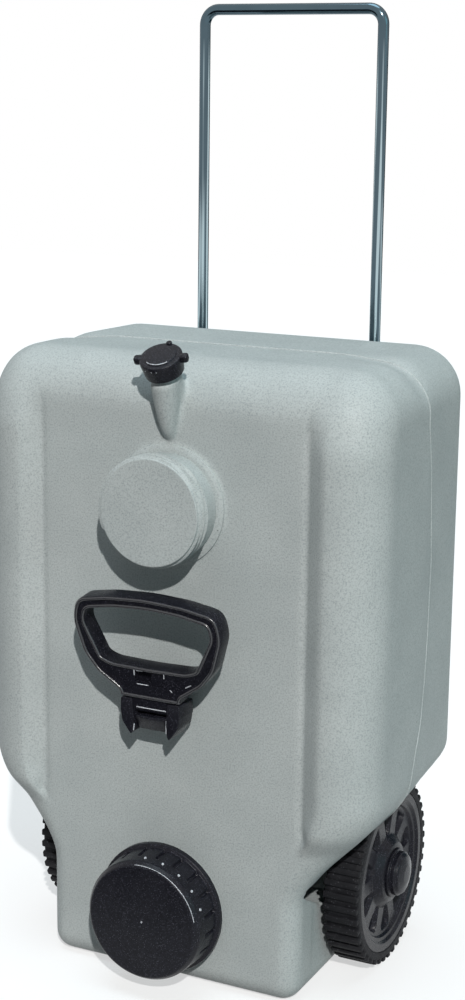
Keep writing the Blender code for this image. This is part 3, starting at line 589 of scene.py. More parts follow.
class Shader:
    """A Principled material and the nodes that feed it."""

    def __init__(self, name: str) -> None:
        """Starts a material whose patterns follow the object's own coordinates.

        Args:
            name: Name of the material.
        """
        self.material = bpy.data.materials.new(name)
        self.material.use_nodes = True
        self.tree = self.material.node_tree
        self.surface = self.tree.nodes["Principled BSDF"]
        self.place = self.tree.nodes.new("ShaderNodeTexCoord").outputs["Object"]

    def node(self, kind: str, feeds: dict[str, object] | None = None, **settings: object) -> bpy.types.Node:
        """Adds a node and feeds its inputs, by name or by number."""
        return add_node(self.tree, kind, feeds, **settings)

    def stretched(self, scale: Spot) -> Socket:
        """The coordinates scaled by a different amount along each axis."""
        return self.node("ShaderNodeMapping", {"Vector": self.place, "Scale": scale}).outputs[0]

    def noise(self, size: float, detail: float = 3, where: Socket | None = None,
              rough: float = 0.5) -> Socket:
        """Noise whose blotches have a width in metres, with finer layers in it."""
        feeds = {"Vector": where or self.place, "Scale": 1 / size, "Detail": detail, "Roughness": rough}
        return self.node("ShaderNodeTexNoise", feeds).outputs[0]

    def specks(self, size: float, share: float, kept: float = 1, seed: float = 0) -> Socket:
        """Up to 1 in small scattered specks and 0 between them.

        Args:
            size: Distance between cells.
            share: Radius of a speck as a share of the cell.
            kept: Share of the cells that have a speck, each of its own strength.
            seed: Shifts the pattern.

        Returns:
            The speck mask.
        """
        moved = self.node("ShaderNodeMapping", {"Vector": self.place, "Location": (seed, seed, seed)})
        cells = self.node("ShaderNodeTexVoronoi", {"Vector": moved.outputs[0], "Scale": 1 / size})
        round_speck = self.spread(cells.outputs["Distance"], share, 0.6 * share, 0, 1)
        lot = self.node("ShaderNodeSeparateColor", {"Color": cells.outputs["Color"]}).outputs[0]
        strength = self.spread(lot, 1 - kept, 1, 0, 1)
        return self.node("ShaderNodeMath", {"0": round_speck, "1": strength}, operation="MULTIPLY").outputs[0]

    def spread(self, source: Socket, low: float, high: float, first: float,
               last: float | Socket) -> Socket:
        """Maps low..high to first..last, and holds both ends."""
        feeds = {"Value": source, "From Min": low, "From Max": high, "To Min": first, "To Max": last}
        return self.node("ShaderNodeMapRange", feeds).outputs[0]

    def mix(self, share: Socket, first: object, second: object) -> Socket:
        """Mixes two colours.

        Args:
            share: How much of the second colour is taken.
            first: Colour or socket.
            second: Colour or socket.

        Returns:
            The mixed colour.
        """
        feeds = {"0": share}
        for key, value in (("6", first), ("7", second)):
            feeds[key] = value if isinstance(value, Socket) else (*value, 1)
        return self.node("ShaderNodeMix", feeds, data_type="RGBA").outputs[2]

    def bump(self, height: Socket, depth: float, under: Socket | None = None) -> Socket:
        """A bump, which may lie on another.

        Args:
            height: Pattern between 0 and 1.
            depth: Its depth in metres.
            under: The bump that it lies on.

        Returns:
            The bent normal.
        """
        feeds: dict[str, object] = {"Height": height, "Distance": depth, "Strength": 1}
        if under is not None:
            feeds["Normal"] = under
        return self.node("ShaderNodeBump", feeds).outputs[0]

    def set(self, **values: object) -> None:
        """Feeds the surface's inputs; an underscore in a name stands for a space."""
        for key, value in values.items():
            feed(self.tree, self.surface.inputs[key.replace("_", " ")], value)


@dataclass(frozen=True)
class TankPlastic:
    """Blow-moulded polyethylene: satin, softly clouded, with a fine grain and a few dark specks."""

    pale: Colour = (0.425, 0.455, 0.450)
    deep: Colour = (0.375, 0.405, 0.402)
    grit: Colour = (0.235, 0.26, 0.26)
    speck: Colour = (0.10, 0.11, 0.11)
    cloud_size: float = 70 * MM
    dent_size: float = 16 * MM
    mottle_size: float = 3.2 * MM
    grain_size: float = 1.4 * MM
    speck_gap: float = 24 * MM

    def material(self) -> bpy.types.Material:
        """Builds the finish.

        Returns:
            The material.
        """
        shader = Shader(Slot.TANK.value)
        clouds = shader.spread(shader.noise(self.cloud_size, 4), 0.35, 0.68, 0, 1)
        mottle = shader.noise(self.mottle_size, 3, rough=0.6)
        colour = shader.mix(clouds, self.pale, self.deep)
        grain = shader.noise(self.grain_size, 3, rough=0.65)
        colour = shader.mix(shader.spread(grain, 0.44, 0.72, 0, 0.85), colour, self.grit)
        colour = shader.mix(shader.specks(self.speck_gap, 0.032, 0.5, 0.31), colour, self.speck)
        relief = shader.bump(grain, 0.16 * MM)
        relief = shader.bump(shader.noise(self.dent_size, 2), 0.25 * MM, relief)
        rough = shader.spread(mottle, 0.3, 0.7, 0.44, 0.58)
        shader.set(Base_Color=colour, Roughness=rough, Normal=relief, IOR=1.5, Specular_IOR_Level=0.22)
        return shader.material


@dataclass(frozen=True)
class MouldedBlack:
    """Black moulded plastic with a fine grain, and pale specks painted in its colour as glints."""

    slot: Slot = Slot.BLACK
    dark: Colour = (0.0045, 0.0045, 0.0065)
    glint: Colour = (0.07, 0.07, 0.09)
    rough: float = 0.27
    grain_size: float = 0.9 * MM
    patch_size: float = 28 * MM
    shine: float = 0.14

    def material(self) -> bpy.types.Material:
        """Builds the finish.

        Returns:
            The material.
        """
        shader = Shader(self.slot.value)
        fine = shader.noise(self.grain_size, 3, rough=0.65)
        sparkle = shader.specks(1.25 * self.grain_size, 0.38, 0.6)
        faint = shader.spread(fine, 0.40, 0.70, 0, 1)
        colour = shader.mix(faint, self.dark, tuple(3 * value for value in self.dark))
        # Painted glints: pale specks mixed into the colour.
        colour = shader.mix(sparkle, colour, self.glint)
        patches = shader.noise(self.patch_size, 3)
        wear_and_painted_highlights = shader.spread(patches, 0.35, 0.7, self.rough - 0.05, self.rough + 0.10)
        relief = shader.bump(fine, 0.12 * MM)
        shader.set(Base_Color=colour, Roughness=wear_and_painted_highlights, Normal=relief, Specular_IOR_Level=self.shine)
        return shader.material


@dataclass(frozen=True)
class DullRubber:
    """Black rubber with a matt, slightly dusty skin."""

    slot: Slot
    dark: Colour = (0.006, 0.006, 0.0075)
    dust: Colour = (0.050, 0.051, 0.058)
    grain_size: float = 1.0 * MM
    patch_size: float = 11 * MM
    speck_gap: float = 2.1 * MM

    def material(self) -> bpy.types.Material:
        """Builds the finish.

        Returns:
            The material.
        """
        shader = Shader(self.slot.value)
        fine = shader.noise(self.grain_size, 4, rough=0.7)
        patches = shader.spread(shader.noise(self.patch_size, 4), 0.45, 0.75, 0.0, 0.4)
        colour = shader.mix(patches, self.dark, tuple(0.4 * value for value in self.dust))
        colour = shader.mix(shader.specks(self.speck_gap, 0.36, 0.5, 0.7), colour, self.dust)
        rough = shader.spread(fine, 0.3, 0.7, 0.55, 0.78)
        relief = shader.bump(fine, 0.16 * MM)
        shader.set(Base_Color=colour, Roughness=rough, Normal=relief, Specular_IOR_Level=0.16)
        return shader.material


@dataclass(frozen=True)
class BrightChrome:
    """Chrome plate on bent tube with faint drawn lines; its cool colour is a painted dark reflection, its
    streaks painted highlights.
    """

    # The first colour is far darker than chrome, a painted dark reflection; the second paints highlight
    # streaks.
    dark_reflection_tint: Colour = (0.085, 0.125, 0.15)
    highlight_streak: Colour = (0.46, 0.58, 0.62)
    haze_size: float = 35 * MM
    line_size: float = 1.4 * MM
    streak_size: float = 3.4 * MM
    bend_low: float = 780 * MM
    bend_high: float = 820 * MM

    def material(self) -> bpy.types.Material:
        """Builds the finish, whose pale streaks, painted highlights, end below the tube's bends.

        Returns:
            The material.
        """
        shader = Shader(Slot.CHROME.value)
        lines = shader.noise(self.line_size, 2, shader.stretched((1, 1, 0.02)))
        haze = shader.noise(self.haze_size, 3)
        deep = tuple(0.72 * value for value in self.dark_reflection_tint)
        colour = shader.mix(shader.spread(haze, 0.4, 0.7, 0, 0.35), self.dark_reflection_tint, deep)
        height = shader.node("ShaderNodeSeparateXYZ", {"Vector": shader.place}).outputs[2]
        below_bend = shader.spread(height, self.bend_low, self.bend_high, 0.9, 0)
        # Painted highlights: pale streaks that end below the bends.
        bright = shader.noise(self.streak_size, 1, shader.stretched((1, 1, 0.012)))
        colour = shader.mix(shader.spread(bright, 0.52, 0.6, 0, below_bend), colour, self.highlight_streak)
        rough = shader.spread(haze, 0.35, 0.75, 0.07, 0.17)
        relief = shader.bump(lines, 0.015 * MM)
        shader.set(Base_Color=colour, Metallic=1.0, Roughness=rough, Normal=relief)
        return shader.material


@dataclass(frozen=True)
class ZincPlate:
    """Zinc-plated steel: grey, lightly brushed, with a soft crystal mottle."""

    bright: Colour = (0.60, 0.60, 0.58)
    dull: Colour = (0.44, 0.44, 0.42)
    crystal_size: float = 2.5 * MM
    brush_size: float = 0.5 * MM

    def material(self) -> bpy.types.Material:
        """Builds the finish.

        Returns:
            The material.
        """
        shader = Shader(Slot.ZINC.value)
        feeds = {"Vector": shader.place, "Scale": 1 / self.crystal_size}
        crystals = shader.node("ShaderNodeTexVoronoi", feeds).outputs["Distance"]
        colour = shader.mix(shader.spread(crystals, 0.1, 0.7, 0, 1), self.bright, self.dull)
        brushed = shader.noise(self.brush_size, 2, shader.stretched((0.05, 1, 1)))
        rough = shader.spread(brushed, 0.3, 0.7, 0.28, 0.46)
        relief = shader.bump(brushed, 0.01 * MM)
        shader.set(Base_Color=colour, Metallic=1.0, Roughness=rough, Normal=relief)
        return shader.material


class Workshop:
    """Holds the finishes and the trees, and hands finished pieces to the frame."""

    def __init__(self, frame: dict[str, object]) -> None:
        """Builds every finish and tree once.
        """
        self.nodes: dict[str, Piece] = frame["nodes"]
        kinds = {
            Slot.TANK: TankPlastic(),
            Slot.BLACK: MouldedBlack(),
            Slot.POLISHED: MouldedBlack(Slot.POLISHED, (0.008, 0.008, 0.010), (0.02, 0.02, 0.02), 0.24,
                                        shine=0.75),
            # The pale finish: its colour paints highlights on thin edges, dots and pips of black parts.
            Slot.WORN: MouldedBlack(Slot.WORN, (0.27, 0.28, 0.30), (0.6, 0.6, 0.6), 0.35),
            Slot.SEAL: DullRubber(Slot.SEAL),
            Slot.TYRE: DullRubber(Slot.TYRE),
            Slot.CHROME: BrightChrome(),
            Slot.ZINC: ZincPlate(),
        }
        self.finishes = {slot: kind.material() for slot, kind in kinds.items()}
        self.rings = ring_tree()
        self.sweeps = sweep_tree()
        self.spots = spot_tree()

    def hand_over(self, piece: Piece, body: Body, slot: Slot, *nodes: str) -> Piece:
        """Gives a piece its finish, body and slot, and hides the CAD nodes that it stands for.

        Args:
            piece: Finished object at the origin.
            body: Body that it rides on.
            slot: Its material slot.
            nodes: CAD nodes that it replaces.

        Returns:
            The piece.
        """
        piece.data.materials.clear()
        piece.data.materials.append(self.finishes[slot])
        for face in piece.data.polygons:
            face.material_index = 0
        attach(piece, body.value)
        if nodes:
            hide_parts(*nodes)
        LOG.info("%s rides on %s with %d faces", piece.name, body.value, len(piece.data.polygons))
        return piece

    def bead(self, name: str, points: Sequence[Sequence[float]], radius: float, slot: Slot, sides: int = 8,
             cyclic: bool = False, place: Matrix = STILL) -> Piece:
        """A round bar through points, made by the sweep tree.

        Args:
            name: Name of the object.
            points: Centre line.
            radius: Radius of the bar.
            slot: Finish that the tree sets.
            sides: Sides of the bar.
            cyclic: Whether the ends join.
            place: Placement, measured from the front panel.

        Returns:
            The bar as a plain mesh.
        """
        curve = bpy.data.curves.new(name, "CURVE")
        curve.dimensions = "3D"
        spline = curve.splines.new("POLY")
        spline.points.add(len(points) - 1)
        for spot, point in zip(spline.points, points):
            spot.co = (*(PANEL @ place @ Vector(point)), 1)
        spline.use_cyclic_u = cyclic
        values = {"Radius": radius, "Sides": sides, "Finish": self.finishes[slot]}
        return self.sweeps.grow(linked(name, curve), values)

    def highlight_line(self, name: str, points: Sequence[Sequence[float]], place: Matrix = STILL,
                  radius: float = HIGHLIGHT_LINE_RADIUS) -> Piece:
        """A thin bead of the pale finish along an edge: a painted highlight."""
        return self.bead(name, points, radius, Slot.WORN, place=place)

    def ring_of(self, part: Piece, copies: int, first: float, slot: Slot, place: Matrix) -> Piece:
        """Copies a part round local Z and puts the ring in its place.

        Args:
            part: Part made with the identity placement. It is removed.
            copies: Number of copies.
            first: Angle of the first one in degrees.
            slot: Finish that the tree sets.
            place: Placement, measured from the front panel.

        Returns:
            The ring as a plain mesh.
        """
        part.data.transform(PANEL.inverted())
        ring = self.rings.grow(part, {"Copies": copies, "First angle": math.radians(first),
                                      "Finish": self.finishes[slot]})
        ring.data.transform(PANEL @ place)
        return ring

    def carry_over(self, node: str, name: str, body: Body, slot: Slot, rounding: float) -> Piece:
        """Stands for a CAD node with a copy of it whose edges are rounded.

        Args:
            node: CAD node.
            name: Name of the piece.
            body: Body that it rides on.
            slot: Its material slot.
            rounding: Width of its rounded edges.

        Returns:
            The piece.
        """
        mesh = bmesh.new()
        mesh.from_mesh(self.nodes[node].data)
        bmesh.ops.remove_doubles(mesh, verts=mesh.verts, dist=1e-5)
        bmesh.ops.dissolve_limit(mesh, angle_limit=math.radians(1), verts=mesh.verts, edges=mesh.edges)
        mesh.transform(PANEL.inverted())
        piece = softened(frame_object(name, mesh, STILL), rounding)
        return self.hand_over(piece, body, slot, node)


@dataclass
class TankBody:
    """The blow-moulded tank with its ridges, wheel wells, grooves, spout foot and parting seam."""

    width: float = 378.8 * MM
    depth: float = 240 * MM
    height: float = 555 * MM
    foot_width: float = 246 * MM
    front_radius: float = 43 * MM
    back_radius: float = 45 * MM
    top_radius: float = 44 * MM
    foot_radius: float = 18 * MM
    foot_back_radius: float = 30 * MM
    back_draft: float = 7 * MM
    shoulder_low: float = 88 * MM
    shoulder_high: float = 190 * MM
    parting: float = 108 * MM
    valley_half: float = 126 * MM
    valley_dip: float = 1.9 * MM
    valley_spread: float = 3 * MM
    ridge_rise: float = 9 * MM
    ridge_low: float = 140 * MM
    ridge_fade: float = 26 * MM
    ridge_top_below: float = 20 * MM
    ridge_steps: int = 20
    corner_steps: int = 12
    well_gap: float = 9 * MM
    well_recess: float = 0.6 * MM
    well_back_radius: float = 62 * MM
    notch_side: float = 82 * MM
    keel_gap: float = 8 * MM
    keel_slope: float = 3.4
    groove_radius: float = 7.5 * MM
    seam_radius: float = 1.1 * MM
    seam_rise: float = 0.5 * MM
    seam_low: float = 96 * MM
    pip_height: float = 484 * MM
    voxel: float = 1.9 * MM
    faces: int = 180000
    notch: tuple[Point, ...] = (
        (16.5, 97), (57, 74), (100, 68), (100, 112), (60, 128), (44, 128), (36, 118), (28.5, 107.5),
        (17, 106),
    )
    seam_line: tuple[Point, ...] = (
        (92, 74), (140, 82), (189, 92), (213, 101), (238, 112), (279, 120), (316, 124), (380, 127),
        (461, 118), (500, 108), (560, 108),
    )

    def full_share(self, height: float) -> float:
        """0 in the narrow foot, 1 in the full upper body."""
        return float(smooth_step(height, self.shoulder_low, self.shoulder_high))

    def back_depth(self, height: float) -> float:
        """How deep the tank is at a height.

        Args:
            height: Level above the floor.

        Returns:
            Front panel to the back wall.
        """
        keel = WHEEL_RADIUS - self.keel_gap
        drop = WHEEL_RADIUS - height
        if drop >= keel:
            return AXLE_DEPTH - self.keel_slope * (drop - keel)
        curve = AXLE_DEPTH + math.sqrt(keel * keel - max(drop, 0) ** 2)
        return curve + (self.depth - AXLE_DEPTH - keel) * self.full_share(height)

    def drawn(self, height: float) -> float:
        """How far every wall draws in for the rounded top and foot.

        Args:
            height: Level above the floor.

        Returns:
            The distance, 0 between the two.
        """
        over = max(height - (self.height - self.top_radius), 0)
        under = max(self.foot_radius - height, 0)
        top = self.top_radius - math.sqrt(max(self.top_radius**2 - over**2, 0))
        return top + self.foot_radius - math.sqrt(max(self.foot_radius**2 - under**2, 0))

    def side_at(self, height: float) -> float:
        """Middle plane to the side wall at a height."""
        shoulder = (self.width - self.foot_width) / 2 * self.full_share(height)
        return self.foot_width / 2 + shoulder - self.drawn(height)

    def corner_at(self, height: float, foot: float, upper: float) -> float:
        """Radius of a corner at a height, from its radii in the foot and in the upper body."""
        return max(foot + (upper - foot) * self.full_share(height) - self.drawn(height), LEAST_ROUND)

    def half_section(self, height: float) -> list[Point]:
        """The right half of one level, from the front panel round the side to the back.

        Args:
            height: Level above the floor.

        Returns:
            Side and depth of each point.
        """
        side, front = self.side_at(height), self.drawn(height)
        back = self.back_depth(height) - front
        front_round = self.corner_at(height, self.foot_radius, self.front_radius)
        back_round = self.corner_at(height, self.foot_back_radius, self.back_radius)
        ridge_top = self.height - self.ridge_top_below
        there = float(smooth_step(height, self.ridge_low, self.ridge_low + self.ridge_fade))
        there *= 1 - float(smooth_step(height, ridge_top - 2 * self.ridge_fade, ridge_top))
        crest = side - front_round
        flare = 12 * MM * (1 - there) * (height < self.parting * 2)
        valley = min(self.valley_half + flare, crest - 8 * MM)
        lead = 9 * MM
        half: list[Point] = []
        for i in range(self.ridge_steps):
            x = valley - lead + (crest - valley + lead) * i / self.ridge_steps
            rise = self.ridge_rise * float(smooth_step(x, valley, crest))
            dip = self.valley_dip * math.exp(-(((x - valley) / self.valley_spread) ** 2))
            half.append((x, front - there * (rise - dip)))
        crest_front = front - there * self.ridge_rise
        half += arc((crest, crest_front + front_round), front_round, -90, 0, self.corner_steps)
        parting = max(self.parting, front + front_round + LEAST_ROUND)
        half.append((side, min(parting, back - back_round - LEAST_ROUND)))
        lean = self.back_draft * self.full_share(height)
        rear = (side - lean - back_round, back - back_round)
        return half + arc(rear, back_round, 0, 90, self.corner_steps)

    def levels(self) -> list[float]:
        """Heights of the sections, close together where the walls bend.

        Returns:
            The heights, upwards.
        """
        quarter = np.sin(np.radians(np.linspace(0, 90, 11)))
        foot = [float(self.foot_radius - self.foot_radius * q) for q in reversed(quarter)]
        top = [float(self.height - self.top_radius + self.top_radius * q) for q in quarter]
        keel = list(np.linspace(self.foot_radius, self.shoulder_low, 6)[1:-1])
        shoulder = list(np.linspace(self.shoulder_low, self.shoulder_high, 22))
        fade_start = self.height - self.ridge_top_below - 2 * self.ridge_fade
        fade = list(np.linspace(fade_start, self.height - self.top_radius, 7)[:-1])
        return foot + keel + shoulder + fade + top

    def outer_form(self) -> Piece:
        """The closed outer form without wells or grooves.

        Returns:
            The object.
        """
        rings = []
        for height in self.levels():
            half = self.half_section(height)
            rings.append([(x, y, height) for x, y in half + [(-x, y) for x, y in reversed(half)]])
        return lofted("tank_body", rings)

    def cutters(self) -> list[Piece]:
        """The wheel wells, the dark notches over the foot in front of them and the pull handle's grooves.

        Returns:
            A cutter of each kind for each side.
        """
        arch = WHEEL_RADIUS + self.well_gap
        spring = WHEEL_RADIUS + arch + self.well_back_radius
        rear, under = self.depth + BEYOND, -10 * MM
        well = arc((AXLE_DEPTH, WHEEL_RADIUS), arch, 180, 90, 32)
        well += arc((self.depth - self.well_back_radius, spring), self.well_back_radius, 270, 360, 20)
        well += [(rear, spring), (rear, under), (AXLE_DEPTH - arch, under)]
        notch = [(y * MM, z * MM) for y, z in self.notch]
        near = self.foot_width / 2 - self.well_recess
        made = []
        for name, outline, start in (("well", well, near), ("notch", notch, self.notch_side)):
            made.append(prism(name, outline, start, self.width, "X"))
            made.append(prism(name, outline, -self.width, -start, "X"))
        for centre in (TUBE_SPACING / 2, -TUBE_SPACING / 2):
            groove = arc((centre, TUBE_DEPTH), self.groove_radius, 180, 360, 16)
            groove = [(centre - self.groove_radius, rear), *groove, (centre + self.groove_radius, rear)]
            made.append(prism("groove", groove, self.shoulder_low, self.height + BEYOND, "Z"))
        return made

    def neck_root(self, height: float, radius: float) -> Piece:
        """A flared ring that blends a neck into the front panel.

        Args:
            height: Height of the neck's axis.
            radius: Radius of the neck where it meets the ring.

        Returns:
            The ring.
        """
        flare, sunk = 3 * MM, -8 * MM
        outline = [(0, sunk), (radius + flare, sunk), (radius + flare, 0)]
        outline += [(radius + flare * (1 - s) ** 2, flare * s) for s in (0.25, 0.5, 0.75, 1)]
        return turned("neck_root", outline + [(0, flare)], 64, Facing.FRONT.at(0, 0, height))

    @staticmethod
    def top_dip(x: Array | float, y: Array | float, z: Array | float) -> Array | float:
        """How far the moulding sinks in the top's corners, near the parting seam.

        Args:
            x: Side of each point.
            y: Its depth from the front panel.
            z: Its height.

        Returns:
            The distance for each point.
        """
        corner = smooth_step(np.abs(x), 105 * MM, 160 * MM)
        near_seam = np.exp(-(((y - 102 * MM) / (15 * MM)) ** 2))
        return 4.5 * MM * corner * near_seam * smooth_step(z, 500 * MM, 545 * MM)

    def sink_top(self, piece: Piece) -> None:
        """Sinks the top's corners of the finished shell.

        Args:
            piece: The shell.
        """
        flat = np.zeros(len(piece.data.vertices) * 3)
        piece.data.vertices.foreach_get("co", flat)
        spots = flat.reshape(-1, 3)
        depth = spots[:, 1] - PANEL.translation.y
        spots[:, 2] -= self.top_dip(spots[:, 0], depth, spots[:, 2])
        piece.data.vertices.foreach_set("co", spots.reshape(-1))
        piece.data.update()

    def seam_points(self) -> list[Spot]:
        """The parting seam from the right side over the top to the left side.

        Returns:
            Its points.
        """
        heights, depths = zip(*self.seam_line)
        half: list[Spot] = []
        for height in [z for z in self.levels() if z > self.seam_low] + list(np.linspace(0.2, 0.47, 28)):
            depth = float(np.interp(height / MM, heights, depths)) * MM
            back = self.back_depth(height) - self.drawn(height)
            back_round = self.corner_at(height, self.foot_back_radius, self.back_radius)
            share = max(depth - self.parting, 0) / max(back - back_round - self.parting, MM)
            lean = min(share * self.back_draft, self.back_draft)
            half.append((self.side_at(height) - lean - self.seam_rise, depth, float(height)))
        half.sort(key=lambda spot: (spot[2], -spot[0]))
        top = [(x, self.parting, self.height) for x in np.linspace(half[-1][0], -half[-1][0], 40)[1:-1]]
        whole = half + top + [(-x, y, z) for x, y, z in reversed(half)]
        return [(x, y, z - self.top_dip(x, y, z)) for x, y, z in whole]

    def shell(self) -> Piece:
        """The finished shell: cut, joined with its roots, foot and lug, and drawn over by one skin.

        Returns:
            The shell.
        """
        body = carved(self.outer_form(), *self.cutters())
        lug = prism("lug", rectangle(-12 * MM, 241 * MM, 12 * MM, 257 * MM), -14 * MM, 3 * MM, "Y")
        roots = [self.neck_root(BLANK_HEIGHT, 50 * MM), self.neck_root(DRAIN_HEIGHT, 46 * MM)]
        whole = merged("tank_body", [body, *roots, lug, *VentSpout().foot_parts()])
        add_step(whole, "REMESH", mode="VOXEL", voxel_size=self.voxel)
        add_step(whole, "SMOOTH", factor=0.5, iterations=5)
        whole = baked(whole)
        add_step(whole, "DECIMATE", ratio=min(1.0, self.faces / (2 * len(whole.data.polygons))))
        whole = baked(whole)
        self.sink_top(whole)
        whole.data.shade_smooth()
        return whole

    def build(self, shop: Workshop) -> None:
        """Makes the shell, its seam and the pip over the closed neck.

        Args:
            shop: Workshop that finishes the pieces.
        """
        shop.hand_over(self.shell(), Body.TANK, Slot.TANK, "tank_shell")
        seam = shop.bead("parting_seam", self.seam_points(), self.seam_radius, Slot.TANK)
        shop.hand_over(seam, Body.TANK, Slot.TANK)
        dome = rounded(scaled([(0, 1.3, 0), (2.2, 1.3, 0.8), (2.6, -1, 0), (0, -1, 0)]), False)
        pip = turned("panel_pip", dome, 20, Facing.FRONT.at(0, 0, self.pip_height))
        shop.hand_over(pip, Body.TANK, Slot.TANK)


def thread_share(run: Array, flank: float, start: Point, end: Point) -> Array:
    """Height of a screw thread as a share of its full height.

    Args:
        run: Turns from the thread's start at each point.
        flank: Where the flank reaches the root, in turns from the crest.
        start: Turns between which the thread rises from the wall.
        end: Turns between which it runs out.

    Returns:
        The share at each point.
    """
    crest = 1 - smooth_step(np.abs((run % 1) - 0.5), 0.08, flank)
    turns = run + 0.5
    return crest * smooth_step(turns, *start) * (1 - smooth_step(turns, *end))


@dataclass
class ScrewNeck:
    """A threaded neck on the front panel, open or closed."""

    name: str
    height: float
    length: float
    closed: bool
    radius: float = 48 * MM
    thread_depth: float = 2.2 * MM
    thread_start: float = 205
    pitch: float = 6 * MM
    turns: float = 3
    wall: float = 4 * MM
    sunk: float = -2 * MM

    def thread(self, angles: Array, radius: Array, height: Array) -> tuple[Array, Array]:
        """Raises a right-handed thread on the outer wall.

        Args:
            angles: Angle of each point.
            radius: Its radius.
            height: Its height.

        Returns:
            The new radius and height.
        """
        root = self.radius - self.thread_depth
        low = self.length - self.turns * self.pitch - 3 * MM
        turned_by = (angles - math.radians(self.thread_start)) % (2 * math.pi) / (2 * math.pi)
        share = thread_share((height - low) / self.pitch - turned_by, 0.20, (0.55, 1.0),
                             (self.turns - 0.05, self.turns + 0.35))
        on_wall = (np.abs(radius - root) < 0.1 * MM) & (height > 2 * MM)
        return radius + np.where(on_wall, self.thread_depth * share, 0), height

    def build(self, shop: Workshop) -> None:
        """Makes the neck, and the ring round a closed one's root.

        Args:
            shop: Workshop that finishes the pieces.
        """
        root = self.radius - self.thread_depth
        place = Facing.FRONT.at(0, 0, self.height)
        if self.closed:
            corners = [(0, self.length, 0), (root, self.length, 1.2 * MM), (root, 1.5 * MM, 0),
                       (root, self.sunk, 0), (0, self.sunk, 0)]
        else:
            bore = root - self.wall
            corners = [(bore, self.sunk, 0), (bore, self.length, 1 * MM), (root, self.length, 1.2 * MM),
                       (root, self.sunk, 0)]
        ring = not self.closed
        outline = refined(rounded(corners, ring), 0.8 * MM, ring)
        parts = [turned(self.name, outline, 144, place, ring, self.thread)]
        if self.closed:
            inside, flange = root - 2 * MM, self.radius + 4 * MM
            base = [(inside, self.sunk, 0), (flange, self.sunk, 0), (flange, 2.8 * MM, 0.7 * MM),
                    (self.radius + 0.5 * MM, 4 * MM, 1.5 * MM), (inside, 4.4 * MM, 0)]
            parts.append(turned("base_ring", rounded(base, True), 144, place, True))
        shop.hand_over(merged(self.name, parts), Body.TANK, Slot.TANK)


@dataclass
class VentSpout:
    """The filling spout's tapering foot and its threaded neck."""

    lean: float = 30
    forward: float = 15.5 * MM
    mouth_height: float = 557.5 * MM
    radius: float = 13 * MM
    wall: float = 3 * MM
    neck: float = 20 * MM
    core_inset: float = 0.8 * MM
    shoulder: float = 14.5 * MM
    shoulder_radius: float = 12.4 * MM
    foot_radius: float = 12 * MM
    tip: float = 489 * MM
    rise: float = 46 * MM
    pitch: float = 4 * MM
    thread_rise: float = 1.4 * MM

    def place(self) -> Matrix:
        """The mouth's placement: local Z runs out of the spout."""
        return Matrix.Translation((0, -self.forward, self.mouth_height)) @ turn(self.lean, "X")

    def foot_parts(self) -> list[Piece]:
        """The tapering foot and the neck's core, to be blended into the tank.

        Returns:
            The two objects.
        """
        angles = np.linspace(0, 2 * math.pi, 40, endpoint=False)
        rings = []
        for share in (0.01, 0.06, 0.14, 0.25, 0.4, 0.55, 0.7, 0.85, 1.0):
            radius = self.foot_radius * share**0.36
            centre = -9.5 * MM * share**0.8
            height = self.tip + self.rise * share
            back = np.maximum(np.sin(angles), 0) * 16 * MM * share
            rings.append([(radius * math.cos(a), centre + radius * math.sin(a) + b, height)
                          for a, b in zip(angles, back)])
        place = self.place()
        ring = [(self.shoulder_radius * math.cos(a), self.shoulder_radius * math.sin(a), -self.shoulder)
                for a in angles]
        rings.append([tuple(place @ Vector(spot)) for spot in ring])
        low, core = -self.neck - BEYOND, self.radius - self.core_inset
        outline = [(0, low), (core, low), (core, -6 * MM), (0, -6 * MM)]
        return [lofted("spout_foot", rings), turned("spout_core", outline, 40, place)]

    def thread(self, angles: Array, radius: Array, height: Array) -> tuple[Array, Array]:
        """Raises the spout's thread.

        Args:
            angles: Angle of each point.
            radius: Its radius.
            height: Its height.

        Returns:
            The new radius and height.
        """
        run = (height + 9 * MM) / self.pitch - angles / (2 * math.pi)
        rise = self.thread_rise * thread_share(run, 0.25, (0.5, 1.0), (1.5, 2.0))
        return radius + np.where(np.abs(radius - self.radius) < 0.1 * MM, rise, 0), height

    def build(self, shop: Workshop) -> None:
        """Makes the threaded neck.

        Args:
            shop: Workshop that finishes the pieces.
        """
        inner = self.radius - self.wall
        corners = [(inner, -self.neck, 0), (inner, 0, 0.6 * MM), (self.radius, 0, 0.8 * MM),
                   (self.radius, -self.neck, 0)]
        outline = refined(rounded(corners, True), 0.6 * MM, True)
        neck = turned("spout_neck", outline, 72, self.place(), True, self.thread)
        shop.hand_over(neck, Body.TANK, Slot.TANK)


